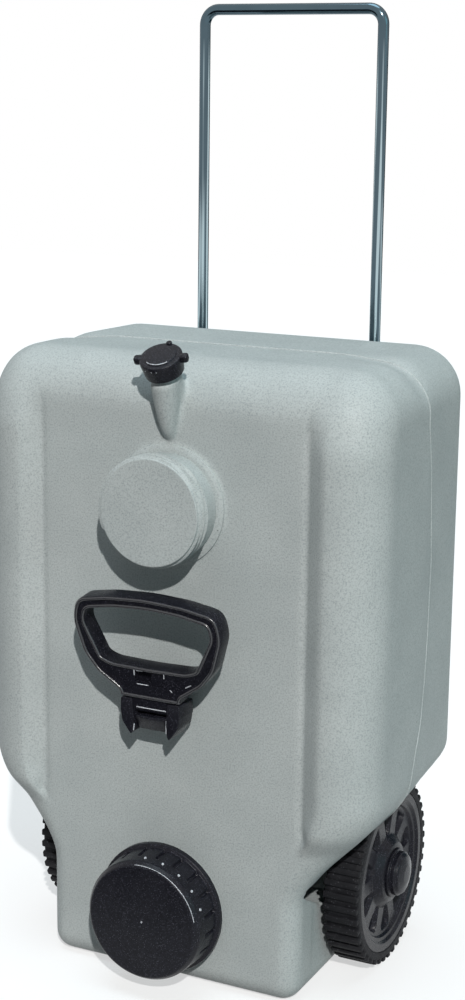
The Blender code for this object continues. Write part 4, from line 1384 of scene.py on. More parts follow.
@dataclass
class VentCap:
    """The small screw cap on the spout, with two finger lugs and two pips."""

    spout: VentSpout
    radius: float = 18.2 * MM
    skirt_radius: float = 16.6 * MM
    bore: float = 14.9 * MM
    height: float = 17 * MM
    seat: float = 2.1 * MM
    top: float = 3 * MM
    lug_span: float = 47 * MM
    lug_turn: float = 11
    lug_width: float = 7 * MM
    lug_height: float = 6 * MM
    dot_angles: tuple[float, ...] = (-112, -92, -78)

    def lid(self) -> Piece:
        """The cap with its sunk rim.

        Returns:
            The object.
        """
        face = self.seat + self.top
        low = face - self.height
        outline = [(0, face, 0)]
        outline += scaled([(-5, 0, 1.2), (-4.6, -1.2, 0.4), (0, -1.2, 1.3), (0, -5, 1)], self.radius, face)
        outline += [(self.skirt_radius, low, 0.6 * MM), (self.bore, low, 0.4 * MM), (self.bore, self.seat, 0),
                    (0, self.seat, 0)]
        return turned("vent_lid", rounded(outline, False), 96, self.spout.place())

    def lugs(self, shop: Workshop) -> Piece:
        """The two finger lugs.

        Args:
            shop: Workshop whose ring tree copies the lug.

        Returns:
            The pair.
        """
        high = self.seat + self.top - 1 * MM
        inner, reach, half = self.bore + 0.5 * MM, self.lug_span / 2, self.lug_width / 2
        outline = [(inner, -half, 0), (reach, -half, 2.6 * MM), (reach, half, 2.6 * MM), (inner, half, 0)]
        lug = prism("vent_lid_lugs", rounded(outline, True), high - self.lug_height, high, "Z")
        return shop.ring_of(softened(lug, 1.1 * MM), 2, self.lug_turn, Slot.BLACK, self.spout.place())

    def dots(self) -> list[Piece]:
        """Pale dots on the rim, painted highlights.

        Returns:
            The dots.
        """
        outline = [(0, 0.6 * MM), (0.5 * MM, 0.4 * MM), (0.7 * MM, -0.6 * MM), (0, -0.6 * MM)]
        rim = Facing.RIGHT.at(self.radius - 0.4 * MM, 0, self.seat + self.top - 4.6 * MM)
        return [turned("dot", outline, 12, self.spout.place() @ turn(angle, "Z") @ rim)
                for angle in self.dot_angles]

    def build(self, shop: Workshop) -> None:
        """Makes the cap, its lugs, its pips and the pale marks on its rim that paint highlights.

        Args:
            shop: Workshop that finishes the pieces.
        """
        place = self.spout.place()
        face = self.seat + self.top
        shop.hand_over(self.lid(), Body.VENT_CAP, Slot.BLACK, "vent_cap")
        shop.hand_over(self.lugs(shop), Body.VENT_CAP, Slot.BLACK)
        pips = []
        for x, y, size in ((0, self.radius - 0.8 * MM, 2.5 * MM), (-6 * MM, 2 * MM, 0.7 * MM)):
            dome = rounded([(0, face + 0.12 * size, 0), (size, face + 0.08 * size, 0.4 * size),
                            (size, face - 2 * MM, 0), (0, face - 2 * MM, 0)], False)
            pips.append(turned("pip", dome, 20, place @ Matrix.Translation((x, y, 0))))
        shop.hand_over(merged("vent_lid_pips", pips), Body.VENT_CAP, Slot.BLACK)
        # A pale arc along the face's front edge, and the dots: painted highlights.
        edge = [(x, y, face - 0.15 * MM) for x, y in arc((0, 0), self.radius - 5.2 * MM, -125, -38, 14)]
        marks = [*self.dots(), shop.highlight_line("edge", edge, place, 0.42 * MM)]
        shop.hand_over(merged("vent_lid_dots", marks), Body.VENT_CAP, Slot.WORN)


@dataclass
class DrainCap:
    """The big screw cap: flat face, notched skirt and a flange."""

    face: float = 48.5 * MM
    face_radius: float = 52 * MM
    skirt_radius: float = 56 * MM
    skirt_draft: float = 1.5 * MM
    flange_radius: float = 59 * MM
    flange_height: float = 7 * MM
    lift: float = 10 * MM
    seat: float = 45 * MM
    bore: float = 49 * MM
    dimple: float = 0.6 * MM
    notches: int = 20
    notch_first: float = 2
    notch_depth: float = 2.2 * MM
    notch_low: float = 14 * MM
    notch_high: float = 18 * MM
    pip_level: float = 21 * MM
    pips: tuple[float, ...] = (20, 38, 56, 74, 92)

    def place(self) -> Matrix:
        """The cap's placement: local Z runs out of the neck."""
        return Facing.FRONT.at(0, 0, DRAIN_HEIGHT)

    def groove(self, angles: Array, radius: Array, height: Array) -> tuple[Array, Array]:
        """Presses narrow grip notches into the skirt, from the flange upwards.

        Args:
            angles: Angle of each point.
            radius: Its radius.
            height: Its height.

        Returns:
            The new radius and height.
        """
        sector = 2 * math.pi / self.notches
        offset = np.abs(((angles - math.radians(self.notch_first)) % sector) - sector / 2) * radius
        top = self.lift + self.flange_height
        along = smooth_step(height, top - 0.5 * MM, top + 0.8 * MM)
        along = along * (1 - smooth_step(height, top + self.notch_low, top + self.notch_high))
        across = 1 - smooth_step(offset, 1 * MM, 2 * MM)
        on_skirt = radius > self.skirt_radius - 2.2 * MM
        return radius - np.where(on_skirt, self.notch_depth * along * across, 0), height

    def lid(self) -> Piece:
        """The cap itself.

        Returns:
            The object.
        """
        top = self.lift + self.flange_height
        outline = [(0, self.face - self.dimple, 0), (1.2 * MM, self.face - self.dimple, 0),
                   (1.6 * MM, self.face, 0), (self.face_radius - 1 * MM, self.face, 3.5 * MM),
                   (self.skirt_radius - 1.6 * MM, self.face - 5 * MM, 4 * MM),
                   (self.skirt_radius, top, 1.2 * MM), (self.flange_radius, top - 1 * MM, 1.4 * MM),
                   (self.flange_radius, self.lift, 1 * MM), (self.bore, self.lift, 0.6 * MM),
                   (self.bore, self.seat, 0), (0, self.seat, 0)]
        outline = refined(rounded(outline, False), 1.4 * MM, False)
        return turned("drain_lid", outline, 416, self.place(), False, self.groove)

    def build(self, shop: Workshop) -> None:
        """Makes the cap, and its pips, the mark in its middle and the line on its rim in the pale finish that
        paints highlights.

        Args:
            shop: Workshop that finishes the pieces.
        """
        place = self.place()
        shop.hand_over(self.lid(), Body.DRAIN_CAP, Slot.BLACK, "drain_cap")
        # The pips and the mark in the middle are real bumps; their pale colour is a painted highlight.
        dome = rounded(scaled([(0, 1.1, 0), (1.1, 0.9, 0.6), (1.3, -1, 0), (0, -1, 0)]), False)
        top = self.lift + self.flange_height
        inward = self.skirt_draft * self.pip_level / (self.face - 5 * MM - top)
        seat = Matrix.Translation((self.skirt_radius - inward, 0, top + self.pip_level)) @ turn(88, "Y")
        wear_and_painted_highlights = [turned("pip", dome, 12, place @ turn(angle, "Z") @ seat) for angle in self.pips]
        button = [(0, 0.35 * MM), (0.8 * MM, 0.3 * MM), (0.9 * MM, -1 * MM), (0, -1 * MM)]
        middle = place @ Matrix.Translation((0, 0, self.face - 0.4 * MM))
        wear_and_painted_highlights.append(turned("gate_mark", button, 16, middle))
        # A pale line round the face's rim: a painted highlight.
        edge = arc((0, 0), self.face_radius - 0.4 * MM, 12, 98, 24)
        line = [(x, y, self.face - 1.2 * MM) for x, y in edge]
        wear_and_painted_highlights.append(shop.highlight_line("worn_edge", line, place, 0.32 * MM))
        shop.hand_over(merged("drain_lid_pips", wear_and_painted_highlights), Body.DRAIN_CAP, Slot.WORN)


@dataclass
class Wheel:
    """One wheel: lugged tyre, disc with pockets and a domed hub cap."""

    facing: Facing
    body: Body
    word: str
    width: float = 32.5 * MM
    inset: float = 128 * MM
    lug_rise: float = 3 * MM
    lug_half: float = 2.9 * MM
    lugs: int = 46
    bead_radius: float = 73.3 * MM
    seat: float = 70 * MM
    bore: float = 6.4 * MM
    hub_radius: float = 16.7 * MM
    pockets: int = 10
    pocket_depth: float = 4 * MM
    pocket_inner: float = 34 * MM
    pocket_outer: float = 56.5 * MM
    cap_radius: float = 20 * MM
    dome_height: float = 175.4 * MM

    def place(self) -> Matrix:
        """The wheel's placement: local Z runs out along the axle."""
        return self.facing.at(0, AXLE_DEPTH, WHEEL_RADIUS)

    def pocket_shape(self, angles: Array, radius: Array, height: Array) -> tuple[Array, Array]:
        """Presses the pockets into the disc's outer face.

        Args:
            angles: Angle of each point.
            radius: Its radius.
            height: Its height.

        Returns:
            The new radius and height.
        """
        sector = 2 * math.pi / self.pockets
        offset = np.abs(((angles + sector / 2) % sector) - sector / 2)
        reach = np.clip((radius - self.pocket_inner) / (self.pocket_outer - self.pocket_inner), 0, 1)
        half = 3 * MM + 8.5 * MM * reach - 3.5 * MM * reach**6
        across = 1 - smooth_step(radius * offset, half - 1.8 * MM, half + 0.8 * MM)
        along = smooth_step(radius, self.pocket_inner - 1.5 * MM, self.pocket_inner + 3 * MM)
        along = along * (1 - smooth_step(radius, self.pocket_outer - 2.5 * MM, self.pocket_outer + 0.5 * MM))
        outer_face = height > self.inset + self.width - 7 * MM
        on_face = outer_face & (radius > self.hub_radius + 3 * MM)
        return radius, height - np.where(on_face, self.pocket_depth * across * along, 0)

    def tyre(self) -> Piece:
        """The tyre without its lugs.

        Returns:
            The object.
        """
        inner, outer = self.inset, self.inset + self.width
        tread, bead = WHEEL_RADIUS - self.lug_rise, self.bead_radius
        outline = [(self.seat, inner + 3.3 * MM, 0), (bead, inner + 3 * MM, 0), (bead, inner, 0.6 * MM)]
        outline += scaled([(-1, 0, 2.5), (0, 5, 2)], tread, inner)
        outline += scaled([(0, -5, 2), (-1, 0, 2.5)], tread, outer)
        outline += [(bead, outer, 0.6 * MM), (bead, outer - 3.3 * MM, 0), (self.seat, outer - 3.3 * MM, 0)]
        return turned(f"tyre_body_{self.word}", rounded(outline, True), 144, self.place(), True)

    def tread(self, shop: Workshop) -> Piece:
        """The lugs round the tyre.

        Args:
            shop: Workshop whose ring tree copies the lug.

        Returns:
            The ring of lugs.
        """
        low, high = self.inset + 0.2 * MM, self.inset + self.width - 0.2 * MM
        sunk = WHEEL_RADIUS - self.lug_rise - 5 * MM
        outline = rounded([(sunk, low, 0), (WHEEL_RADIUS, low, 1.2 * MM), (WHEEL_RADIUS, high, 1.2 * MM),
                           (sunk, high, 0)], True, 3)
        lug = prism(f"tyre_lugs_{self.word}", outline, -self.lug_half, self.lug_half, "Y")
        return shop.ring_of(softened(lug, 0.9 * MM), self.lugs, 0, Slot.TYRE, self.place())

    def disc(self) -> Piece:
        """The disc with its rim, web and hub.

        Returns:
            The object.
        """
        inner, outer = self.inset, self.inset + self.width
        outline = [(self.bore, inner, 0), (13 * MM, inner, 0.8 * MM)]
        outline += scaled([(13, -13.5, 1.5), (66.7, -13.5, 1.5)], 0, outer)
        outline += scaled([(66.7, 0.3, 0.6), (73, 0.3, 0.6), (73, 3, 0), (69.7, 3, 0)], 0, inner)
        outline += scaled([(69.7, -3, 0), (73, -3, 0), (73, -0.3, 0.8), (66, -0.3, 1), (63.5, -2.6, 1),
                           (60.5, -2.8, 1), (59, -5.5, 1.2), (34, -5.5, 3), (27, 1, 2), (23, 2, 1)], 0, outer)
        outline += [(self.hub_radius, outer + 2 * MM, 0.4 * MM), (self.bore, outer + 2 * MM, 0)]
        outline = refined(rounded(outline, True), 1.1 * MM, True)
        return turned(f"wheel_disc_{self.word}", outline, 320, self.place(), True, self.pocket_shape)

    def dome(self) -> Piece:
        """The hub cap.

        Returns:
            The object.
        """
        outer, top, inside = self.inset + self.width, self.dome_height, self.hub_radius + 0.3 * MM
        outline = [(0, top, 0), (8 * MM, top - 0.5 * MM, 6 * MM)]
        outline += scaled([(-2.6, -3, 3), (-1.2, -5.5, 1.2), (0, -6.2, 0.8)], self.cap_radius, top)
        outline += scaled([(0, 4.6, 0.6), (2.4, 4.2, 0.8), (2.4, 2.2, 0.5)], self.cap_radius, outer)
        outline += [(inside, outer + 2.2 * MM, 0), (inside, top - 6.5 * MM, 0), (0, top - 6.5 * MM, 0)]
        return turned(f"hub_dome_{self.word}", rounded(outline, False), 96, self.place())

    def build(self, shop: Workshop) -> None:
        """Makes the four pieces of the wheel.

        Args:
            shop: Workshop that finishes the pieces.
        """
        shop.hand_over(self.tyre(), self.body, Slot.TYRE, f"tyre_{self.word}")
        shop.hand_over(self.tread(shop), self.body, Slot.TYRE)
        shop.hand_over(self.disc(), self.body, Slot.BLACK, f"wheel_rim_{self.word}")
        shop.hand_over(self.dome(), self.body, Slot.BLACK, f"hub_cap_{self.word}")


@dataclass
class PullHandle:
    """The bent chrome tube, its stops, guides and screws on the tank's back."""

    radius: float = 5 * MM
    bend: float = 14 * MM
    top: float = 845 * MM
    low: float = 335.7 * MM
    stop_rounding: float = 0.4 * MM
    guide_rounding: float = 0.7 * MM
    guide_levels: tuple[float, float] = (352 * MM, 488 * MM)
    guide_face: float = 244.8 * MM
    screw_reach: float = 18.5 * MM

    def route(self) -> list[Spot]:
        """The tube's centre line from one foot to the other.

        Returns:
            Its points.
        """
        half = TUBE_SPACING / 2
        left = arc((-half + self.bend, self.top - self.bend), self.bend, 180, 90, 14)
        right = arc((half - self.bend, self.top - self.bend), self.bend, 90, 0, 14)
        return [(x, TUBE_DEPTH, z) for x, z in [(-half, self.low), *left, *right, (half, self.low)]]

    def screw_head(self) -> Piece:
        """A pan head with a cross recess, whose underside is at local Z 0.

        Returns:
            The screw's head.
        """
        dome = scaled([(0, 2.5, 0), (2.4, 2.4, 1), (3.9, 1.2, 0.9), (3.9, 0.2, 0.3), (0, 0.2, 0)])
        head = turned("screw", rounded(dome, False), 28, STILL)
        blade = rectangle(-2.1 * MM, -0.5 * MM, 2.1 * MM, 0.5 * MM)
        blades = [prism("blade", blade, 1.0 * MM, 4 * MM, "Z", turn(angle, "Z")) for angle in (0, 90)]
        return carved(head, *blades)

    def screws(self, shop: Workshop) -> tuple[Piece, list[str]]:
        """The screws of the guides.

        Args:
            shop: Workshop whose spot tree copies the screw.

        Returns:
            The screws and the CAD nodes that they stand for.
        """
        mesh = bmesh.new()
        names = []
        for level, height in zip(("lower", "upper"), self.guide_levels):
            for side, word in ((1, "right"), (-1, "left")):
                for step, part in ((-1, "inner"), (1, "outer")):
                    x = side * (TUBE_SPACING / 2 + step * self.screw_reach)
                    mesh.verts.new((x, self.guide_face, height))
                    names.append(f"guide_screw_{level}_{word}_{part}")
        spots = frame_object("clamp_screws", mesh, STILL)
        head = self.screw_head()
        head.data.transform(Facing.BACK.at(0, 0, 0) @ PANEL.inverted())
        made = shop.spots.grow(spots, {"Part": head, "Finish": shop.finishes[Slot.ZINC]})
        bpy.data.objects.remove(head, do_unlink=True)
        return made, names

    def build(self, shop: Workshop) -> None:
        """Makes the tube, stops, guides and screws.

        Args:
            shop: Workshop that finishes the pieces.
        """
        tube = shop.bead("chrome_tube", self.route(), self.radius, Slot.CHROME, 32)
        shop.hand_over(tube, Body.PULL_HANDLE, Slot.CHROME, "pull_handle")
        for side in ("left", "right"):
            shop.carry_over(f"tube_stop_{side}", f"tube_foot_{side}", Body.PULL_HANDLE, Slot.BLACK,
                            self.stop_rounding)
            for level in ("lower", "upper"):
                shop.carry_over(f"tube_guide_{level}_{side}", f"tube_clamp_{level}_{side}", Body.TANK,
                                Slot.BLACK, self.guide_rounding)
        screws, names = self.screws(shop)
        shop.hand_over(screws, Body.TANK, Slot.ZINC, *names)


@dataclass
class CarryHandle:
    """The black loop handle on its hinge."""

    hinge_forward: float = 26 * MM
    hinge_height: float = 262 * MM
    lean: float = 7
    ear_radius: float = 8.5 * MM
    half_width: float = 70.5 * MM
    height: float = 100.5 * MM
    depth: float = 18 * MM
    forward: float = 7 * MM
    rim: float = 2.2 * MM
    rim_bead: float = 1.6 * MM
    sink: float = 0.9 * MM
    edge: float = 1.3 * MM
    neck_half: float = 28 * MM
    middle: float = 62 * MM
    around: int = 220
    recess_low: float = 23 * MM
    recess_high: float = 35 * MM
    barrel_radius: float = 5.5 * MM
    barrel_half: float = 17 * MM
    # Pale lines painted as highlights along edges of the face and the recess: side and height at each end, in
    # millimetres.
    marks: tuple[tuple[float, float, float, float], ...] = (
        (-14.2, 35.2, -14.2, 30), (-12, 34.7, -6, 34.7), (-12, 22.4, -1, 22.4), (14.4, 35.5, 14.4, 31),
        (19.5, 21.5, 21.5, 19.5), (34.5, 26, 40, 29), (-26, 10.4, 26, 10.4),
    )

    def place(self) -> Matrix:
        """The hinge's placement with the handle leaning out."""
        return Matrix.Translation((0, -self.hinge_forward, self.hinge_height)) @ turn(self.lean, "X")

    def outer(self) -> list[Point]:
        """Outer outline from the hinge, all round.

        Returns:
            Side and height of its points.
        """
        right = [(self.neck_half, self.ear_radius + 0.6 * MM, 1 * MM)]
        right += scaled([(29.5, 14.5, 8), (50, 28.5, 26), (62, 44, 30)])
        right.append((self.half_width, 73 * MM, 30 * MM))
        right += scaled([(66.5, 93.5, 16), (35, 99, 90)])
        left = [(-x, z, radius) for x, z, radius in reversed(right)]
        crown = (0, self.height + 0.6 * MM, 200 * MM)
        return refined(rounded([*right, crown, *left], True, 10), 1.0 * MM, True)

    def inner(self) -> list[Point]:
        """The finger opening's outline, all round.

        Returns:
            Side and height of its points.
        """
        right = scaled([(36, 38.8, 40), (45.5, 42.5, 7), (60.5, 74, 20), (57.5, 84.6, 8), (30, 89.4, 80)])
        low, crown = scaled([(0, 38, 100), (0, 91.2, 200)])
        left = [(-x, z, radius) for x, z, radius in reversed(right)]
        return refined(rounded([low, *right, crown, *left], True, 10), 1.0 * MM, True)

    @staticmethod
    def reach(outline: Sequence[Point], centre: Point, angles: Array) -> Array:
        """Distance from a centre to an outline along each angle.

        Args:
            outline: Closed outline that is seen whole from the centre.
            centre: Where the rays start.
            angles: Directions in radians.

        Returns:
            One distance for each angle.
        """
        spots = np.array(outline) - np.array(centre)
        turns = np.arctan2(spots[:, 1], spots[:, 0])
        order = np.argsort(turns)
        turns, lengths = turns[order], np.hypot(spots[:, 0], spots[:, 1])[order]
        turns = np.concatenate((turns - 2 * math.pi, turns, turns + 2 * math.pi))
        return np.interp(angles, turns, np.tile(lengths, 3))

    def inset_line(self, outline: Sequence[Point], inset: float, depth: float) -> list[Spot]:
        """A line beside an outline, at one depth.

        Args:
            outline: Closed outline round the finger opening.
            inset: How far the line lies towards the opening.
            depth: Its local Y.

        Returns:
            The points of the line.
        """
        line = []
        neighbours = zip(outline[-2:] + outline[:-2], outline[2:] + outline[:2])
        for (x, z), ((x0, z0), (x1, z1)) in zip(outline, neighbours):
            along = Vector((x1 - x0, z1 - z0)).normalized()
            inward = Vector((-along.y, along.x))
            if inward.dot(Vector((-x, self.middle - z))) < 0:
                inward.negate()
            line.append((x + inward.x * inset, depth, z + inward.y * inset))
        return line

    def loop(self) -> Piece:
        """The loop: a channelled front between two raised rims, round the finger opening.

        Returns:
            The object.
        """
        angles = np.linspace(-math.pi, math.pi, self.around, endpoint=False)
        centre = (0.0, self.middle)
        far, near = self.reach(self.outer(), centre, angles), self.reach(self.inner(), centre, angles)
        front, back, bevel = -self.forward, self.depth - self.forward, self.edge
        face = [(0, front + bevel), (0.3 * bevel, front + 0.3 * bevel), (bevel, front),
                (self.rim - 0.3 * MM, front), (self.rim + 0.5 * MM, front + self.sink)]
        rear = [(bevel, back), (0.3 * bevel, back - 0.3 * bevel), (0, back - bevel)]
        columns = [(far - distance, depth) for distance, depth in face]
        columns += [(near + distance, depth) for distance, depth in face[::-1] + rear[::-1]]
        columns += [(far - distance, depth) for distance, depth in rear]
        rows = [np.stack((radius * np.cos(angles), np.full_like(angles, depth),
                          self.middle + radius * np.sin(angles)), axis=1) for radius, depth in columns]
        return frame_object("grip_loop", grid_mesh(np.array(rows), True, True), self.place(), 30)

    def grip(self) -> Piece:
        """The loop with its two recesses and its hinge barrel.

        Returns:
            The object.
        """
        place, front = self.place(), -self.forward
        recesses = []
        for low, high, deep in ((-14, 1.5, 7), (1, 14, 2.2)):
            outline = rectangle(low * MM, self.recess_low, high * MM, self.recess_high)
            corners = rounded([(x, z, MM) for x, z in outline], True)
            recesses.append(prism("recess", corners, front - 5 * MM, front + deep * MM, "Y", place))
        loop = carved(self.loop(), *recesses)
        outline = arc((0, 0), self.barrel_radius, 165, 375, 14) + [(5 * MM, 12 * MM), (-5 * MM, 12 * MM)]
        barrel = prism("barrel", outline, -self.barrel_half, self.barrel_half, "X", place)
        return smoothed(merged("grip_loop", [loop, barrel]), 34)

    def build(self, shop: Workshop) -> None:
        """Makes the grip, the rims along its edges and the pale marks painted on it as highlights.

        Args:
            shop: Workshop that finishes the pieces.
        """
        place, front = self.place(), -self.forward
        shop.hand_over(self.grip(), Body.CARRY_HANDLE, Slot.BLACK, "carry_handle")
        rims = []
        for outline, inset in ((self.outer(), 1.9 * MM), (self.inner(), -1.7 * MM)):
            line = self.inset_line(outline, inset, front + 1.1 * MM)
            rims.append(shop.bead("rim", line, self.rim_bead, Slot.POLISHED, 12, True, place))
        shop.hand_over(merged("grip_rims", rims), Body.CARRY_HANDLE, Slot.POLISHED)
        face = front + self.sink + 0.2 * MM
        lines = [[(x0 * MM, face, z0 * MM), (x1 * MM, face, z1 * MM)] for x0, z0, x1, z1 in self.marks]
        # A pale line along the hinge, also a painted highlight.
        lines.append([(x, -self.barrel_radius, 0.5 * MM) for x in (-14 * MM, 14 * MM)])
        marks = [shop.highlight_line("mark", line, place) for line in lines]
        shop.hand_over(merged("grip_marks", marks), Body.CARRY_HANDLE, Slot.WORN)
        HandleBracket(self.hinge_forward + self.ear_radius, self.hinge_height).build(shop)


@dataclass
class HandleBracket:
    """The bracket of the carry handle: two leaf-shaped cheeks, a back plate and the release flap."""

    reach: float
    hinge: float
    rear: float = -9 * MM
    low: float = 239 * MM
    half_width: float = 17.5 * MM
    flap_half: float = 14 * MM
    flap_length: float = 14.5 * MM
    flap_wall: float = 2.8 * MM

    def cheek(self, side: int) -> Piece:
        """One leaf-shaped cheek.

        Args:
            side: 1 on the right, -1 on the left.

        Returns:
            The cheek.
        """
        leaf = scaled([(17.4, 7.5, 1), (28, 7.5, 2), (28.3, -4, 8), (26.5, -14, 8)], 0, self.hinge)
        leaf += scaled([(18.5, 237.6, 0.9), (16.4, 240, 1.2)])
        leaf += scaled([(15.6, -10, 2)], 0, self.hinge)
        outline = [(side * x, z) for x, z in rounded(leaf, True)]
        return softened(prism("cheek", outline, -self.reach, self.rear, "Y"), 1.1 * MM, 3, 50)

    def flap(self) -> Piece:
        """The release flap, which curves back between the cheeks.

        Returns:
            The flap.
        """
        rows = []
        for share in np.linspace(0, 1, 12):
            z = (self.hinge - 7 * MM) - self.flap_length * share
            y = 0.6 * MM - self.reach + 9 * MM * share**1.4
            half = self.flap_half + 1.2 * MM * share**3
            rows.append([(x, y - 0.5 * MM * math.cos(math.pi * x / (2 * half)), z)
                         for x in np.linspace(-half, half, 13)])
        sheet = frame_object("flap", grid_mesh(np.array(rows), False, False), STILL)
        facing_out = sheet.data.polygons[0].normal.y < 0
        add_step(sheet, "SOLIDIFY", thickness=self.flap_wall, offset=-1 if facing_out else 1)
        return softened(baked(sheet), 0.8 * MM, 3, 50)

    def build(self, shop: Workshop) -> None:
        """Makes the bracket and the pale lines painted as highlights on the edges of its slots.

        Args:
            shop: Workshop that finishes the pieces.
        """
        front, half, hinge = -self.reach, self.half_width, self.hinge
        plate = prism("plate", rectangle(-half, self.low, half, hinge + 4 * MM), -17.3 * MM, -14.5 * MM, "Y")
        bridge = prism("bridge", rectangle(-half, hinge - 7 * MM, half, hinge - 12 * MM),
                       front + 3.4 * MM, self.rear, "Y")
        parts = [self.cheek(-1), self.cheek(1), softened(plate, 0.6 * MM), softened(bridge, 0.6 * MM)]
        parts.append(self.flap())
        shop.hand_over(merged("bracket_shell", parts), Body.TANK, Slot.BLACK, "handle_bracket")
        # Painted highlights along the slots beside the flap.
        lines = ([(15.4, -8), (15.4, -19)], [(-15.4, -15), (-16.2, -21)])
        marks = [shop.highlight_line("slot", [(x * MM, front + 1.2 * MM, hinge + z * MM) for x, z in line])
                 for line in lines]
        shop.hand_over(merged("bracket_lines", marks), Body.TANK, Slot.WORN)


@dataclass
class HiddenParts:
    """CAD nodes that keep their shape and only take a finish."""

    plain: tuple[tuple[str, Slot], ...] = (
        ("axle_rod", Slot.ZINC), ("hinge_pin", Slot.ZINC), ("push_nut_left", Slot.ZINC),
        ("push_nut_right", Slot.ZINC), ("drain_gasket", Slot.SEAL), ("vent_gasket", Slot.SEAL),
        ("wheel_spacer_left", Slot.BLACK), ("wheel_spacer_right", Slot.BLACK),
    )

    def build(self, shop: Workshop) -> None:
        """Gives each node its finish.

        Args:
            shop: Workshop that has the nodes and the finishes.
        """
        for name, slot in self.plain:
            data = shop.nodes[name].data
            data.materials.clear()
            data.materials.append(shop.finishes[slot])
            LOG.info("%s keeps its CAD shape", name)


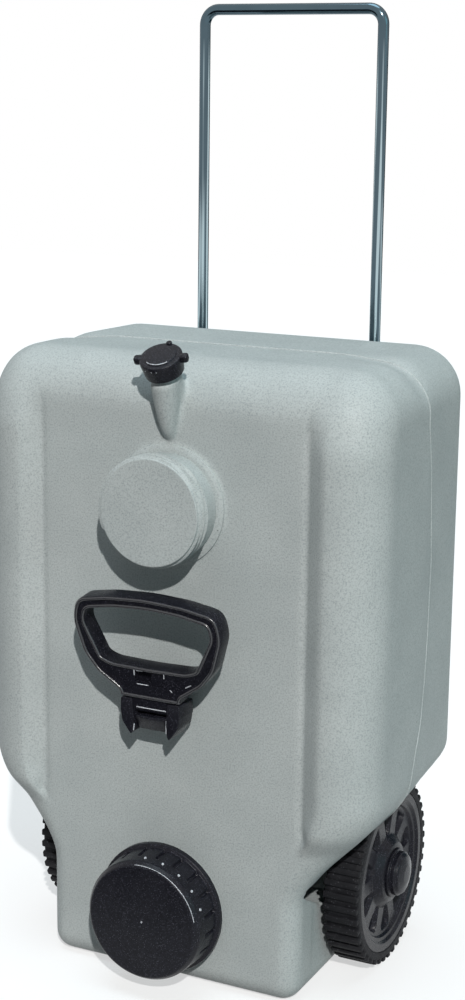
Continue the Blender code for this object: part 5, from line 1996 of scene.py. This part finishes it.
@dataclass
class Studio:
    """Floor, backdrop light, lamps, reflected cards and camera."""

    azimuth: float = 26.3
    pitch: float = 12.7
    roll: float = 0.7
    distance: float = 1.653
    lens: float = 66.13
    target: Spot = (-0.6 * MM, 120 * MM, 413.3 * MM)
    fill: Colour = (0.84, 1.0, 1.10)
    fill_strength: float = 0.105
    floor_half: float = 6.0
    floor_drop: float = 0.1 * MM
    card_lift: float = 2 * MM

    def camera(self) -> None:
        """The photograph's view."""
        azimuth, pitch, roll = (math.radians(a) for a in (self.azimuth, self.pitch, self.roll))
        across, along = math.sin(azimuth), math.cos(azimuth)
        right = Vector((along, across, 0))
        back = Vector((across * math.cos(pitch), -along * math.cos(pitch), math.sin(pitch)))
        up = back.cross(right)
        level = right * math.cos(roll) + up * math.sin(roll)
        upright = up * math.cos(roll) - right * math.sin(roll)
        data = bpy.data.cameras.new("camera")
        data.lens = self.lens
        data.sensor_fit = "VERTICAL"
        data.sensor_height = 36
        data.clip_end = 50
        camera = linked("camera", data)
        camera.matrix_world = Matrix((level, upright, back)).transposed().to_4x4()
        camera.matrix_world.translation = PANEL @ Vector(self.target) + back * self.distance
        bpy.context.scene.camera = camera

    @staticmethod
    def sun(name: str, travel: Spot, strength: float, spread: float, colour: Colour) -> None:
        """A far lamp.

        Args:
            name: Name of the lamp.
            travel: Direction in which its light goes.
            strength: Its strength.
            spread: Its width in degrees, which softens shadows.
            colour: Its colour.
        """
        data = bpy.data.lights.new(name, "SUN")
        data.energy = strength
        data.angle = math.radians(spread)
        data.color = colour
        linked(name, data).rotation_euler = Vector(travel).to_track_quat("-Z", "Y").to_euler()

    def world(self) -> None:
        """Soft cool fill, and a white backdrop for the camera and in reflections."""
        world = bpy.data.worlds.new("studio")
        world.use_nodes = True
        tree = world.node_tree
        fill = tree.nodes["Background"]
        fill.inputs["Color"].default_value = (*self.fill, 1)
        fill.inputs["Strength"].default_value = self.fill_strength
        white = add_node(tree, "ShaderNodeBackground", {"Color": (1, 1, 1, 1)})
        rays = tree.nodes.new("ShaderNodeLightPath").outputs
        either = add_node(tree, "ShaderNodeMath", {"0": rays["Is Camera Ray"], "1": rays["Is Glossy Ray"]},
                          operation="MAXIMUM").outputs[0]
        seen = add_node(tree, "ShaderNodeMath", {"0": either, "1": rays["Is Transmission Ray"]},
                        operation="MAXIMUM").outputs[0]
        choose = add_node(tree, "ShaderNodeMixShader",
                          {"0": seen, "1": fill.outputs[0], "2": white.outputs[0]})
        feed(tree, tree.nodes["World Output"].inputs["Surface"], choose.outputs[0])
        bpy.context.scene.world = world

    @staticmethod
    def plane(name: str, corners: Sequence[Spot], colour: Colour) -> Piece:
        """A flat stage piece.

        Args:
            name: Name of the piece.
            corners: Its four corners.
            colour: Its colour.

        Returns:
            The piece.
        """
        data = bpy.data.meshes.new(name)
        data.from_pydata(corners, [], [(0, 1, 2, 3)])
        shader = Shader(name)
        shader.set(Base_Color=(*colour, 1), Roughness=0.9, Emission_Color=(*colour, 1), Emission_Strength=0,
                   Specular_IOR_Level=0.0)
        data.materials.append(shader.material)
        item = linked(name, data)
        return item

    @staticmethod
    def darken_bounce(floor: Piece) -> None:
        """Lets the floor look pale to the camera and in reflections, but throw little light back.

        Args:
            floor: The floor.
        """
        tree = floor.data.materials[0].node_tree
        bounced = tree.nodes.new("ShaderNodeLightPath").outputs["Is Diffuse Ray"]
        for name, seen, thrown in (("Base Color", 0.42, 0.16), ("Emission Strength", 0.56, 0.0)):
            tone = add_node(tree, "ShaderNodeMapRange", {"Value": bounced, "To Min": seen, "To Max": thrown})
            feed(tree, tree.nodes["Principled BSDF"].inputs[name], tone.outputs[0])

    def floor(self) -> None:
        """The pale floor."""
        half = self.floor_half
        corners = [(x, y, -self.floor_drop) for x, y in rectangle(-half, -half, half, half)]
        self.darken_bounce(self.plane("floor", corners, (1.0, 1.0, 1.0)))

    def cards(self) -> None:
        """Dark cards that only reflections show: one behind, two that lie on the floor."""
        back = ((-3.4, 2.2, -0.2), (2.2, 3.0, -0.2), (2.2, 3.0, 2.6), (-3.4, 2.2, 2.6))
        side = [(x, y, self.card_lift) for x, y in rectangle(0.4, 0.5, 2.2, 2.6)]
        front = [(x, y, self.card_lift) for x, y in rectangle(-2.2, -2.4, 0.0, -0.3)]
        teal, grey = (0.02, 0.07, 0.08), (0.04, 0.04, 0.05)
        for name, corners, colour in (("back_card", back, teal), ("side_card", side, teal),
                                      ("front_card", front, grey)):
            card = self.plane(name, corners, colour)
            card.visible_camera = False
            card.visible_diffuse = False
            card.visible_shadow = False
            card.visible_transmission = False

    def build(self) -> None:
        """Sets up everything that isn't part of the object."""
        self.camera()
        self.world()
        self.sun("key_light", (-23.7, 38, -33), 3.2, 1.2, (1.0, 0.985, 0.965))
        self.sun("top_light", (0.02, 0.05, -1), 1.45, 40, (0.80, 0.98, 1.06))
        self.sun("side_light", (-0.9, 0.1, -0.3), 0.24, 30, (0.25, 1.0, 1.06))
        self.floor()
        self.cards()
        bpy.context.scene.view_settings.view_transform = "Standard"


def main() -> None:
    """Loads the frame and builds every piece in order."""
    logging.basicConfig(level=logging.INFO, format="%(message)s")
    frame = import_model()
    Studio().build()
    shop = Workshop(frame)
    spout = VentSpout()
    TankBody().build(shop)
    ScrewNeck("blank_neck", BLANK_HEIGHT, 38 * MM, True).build(shop)
    ScrewNeck("drain_neck", DRAIN_HEIGHT, 42 * MM, False).build(shop)
    spout.build(shop)
    VentCap(spout).build(shop)
    DrainCap().build(shop)
    Wheel(Facing.RIGHT, Body.WHEEL_RIGHT, "right").build(shop)
    Wheel(Facing.LEFT, Body.WHEEL_LEFT, "left").build(shop)
    PullHandle().build(shop)
    CarryHandle().build(shop)
    HiddenParts().build(shop)


if __name__ == "__main__":
    main()
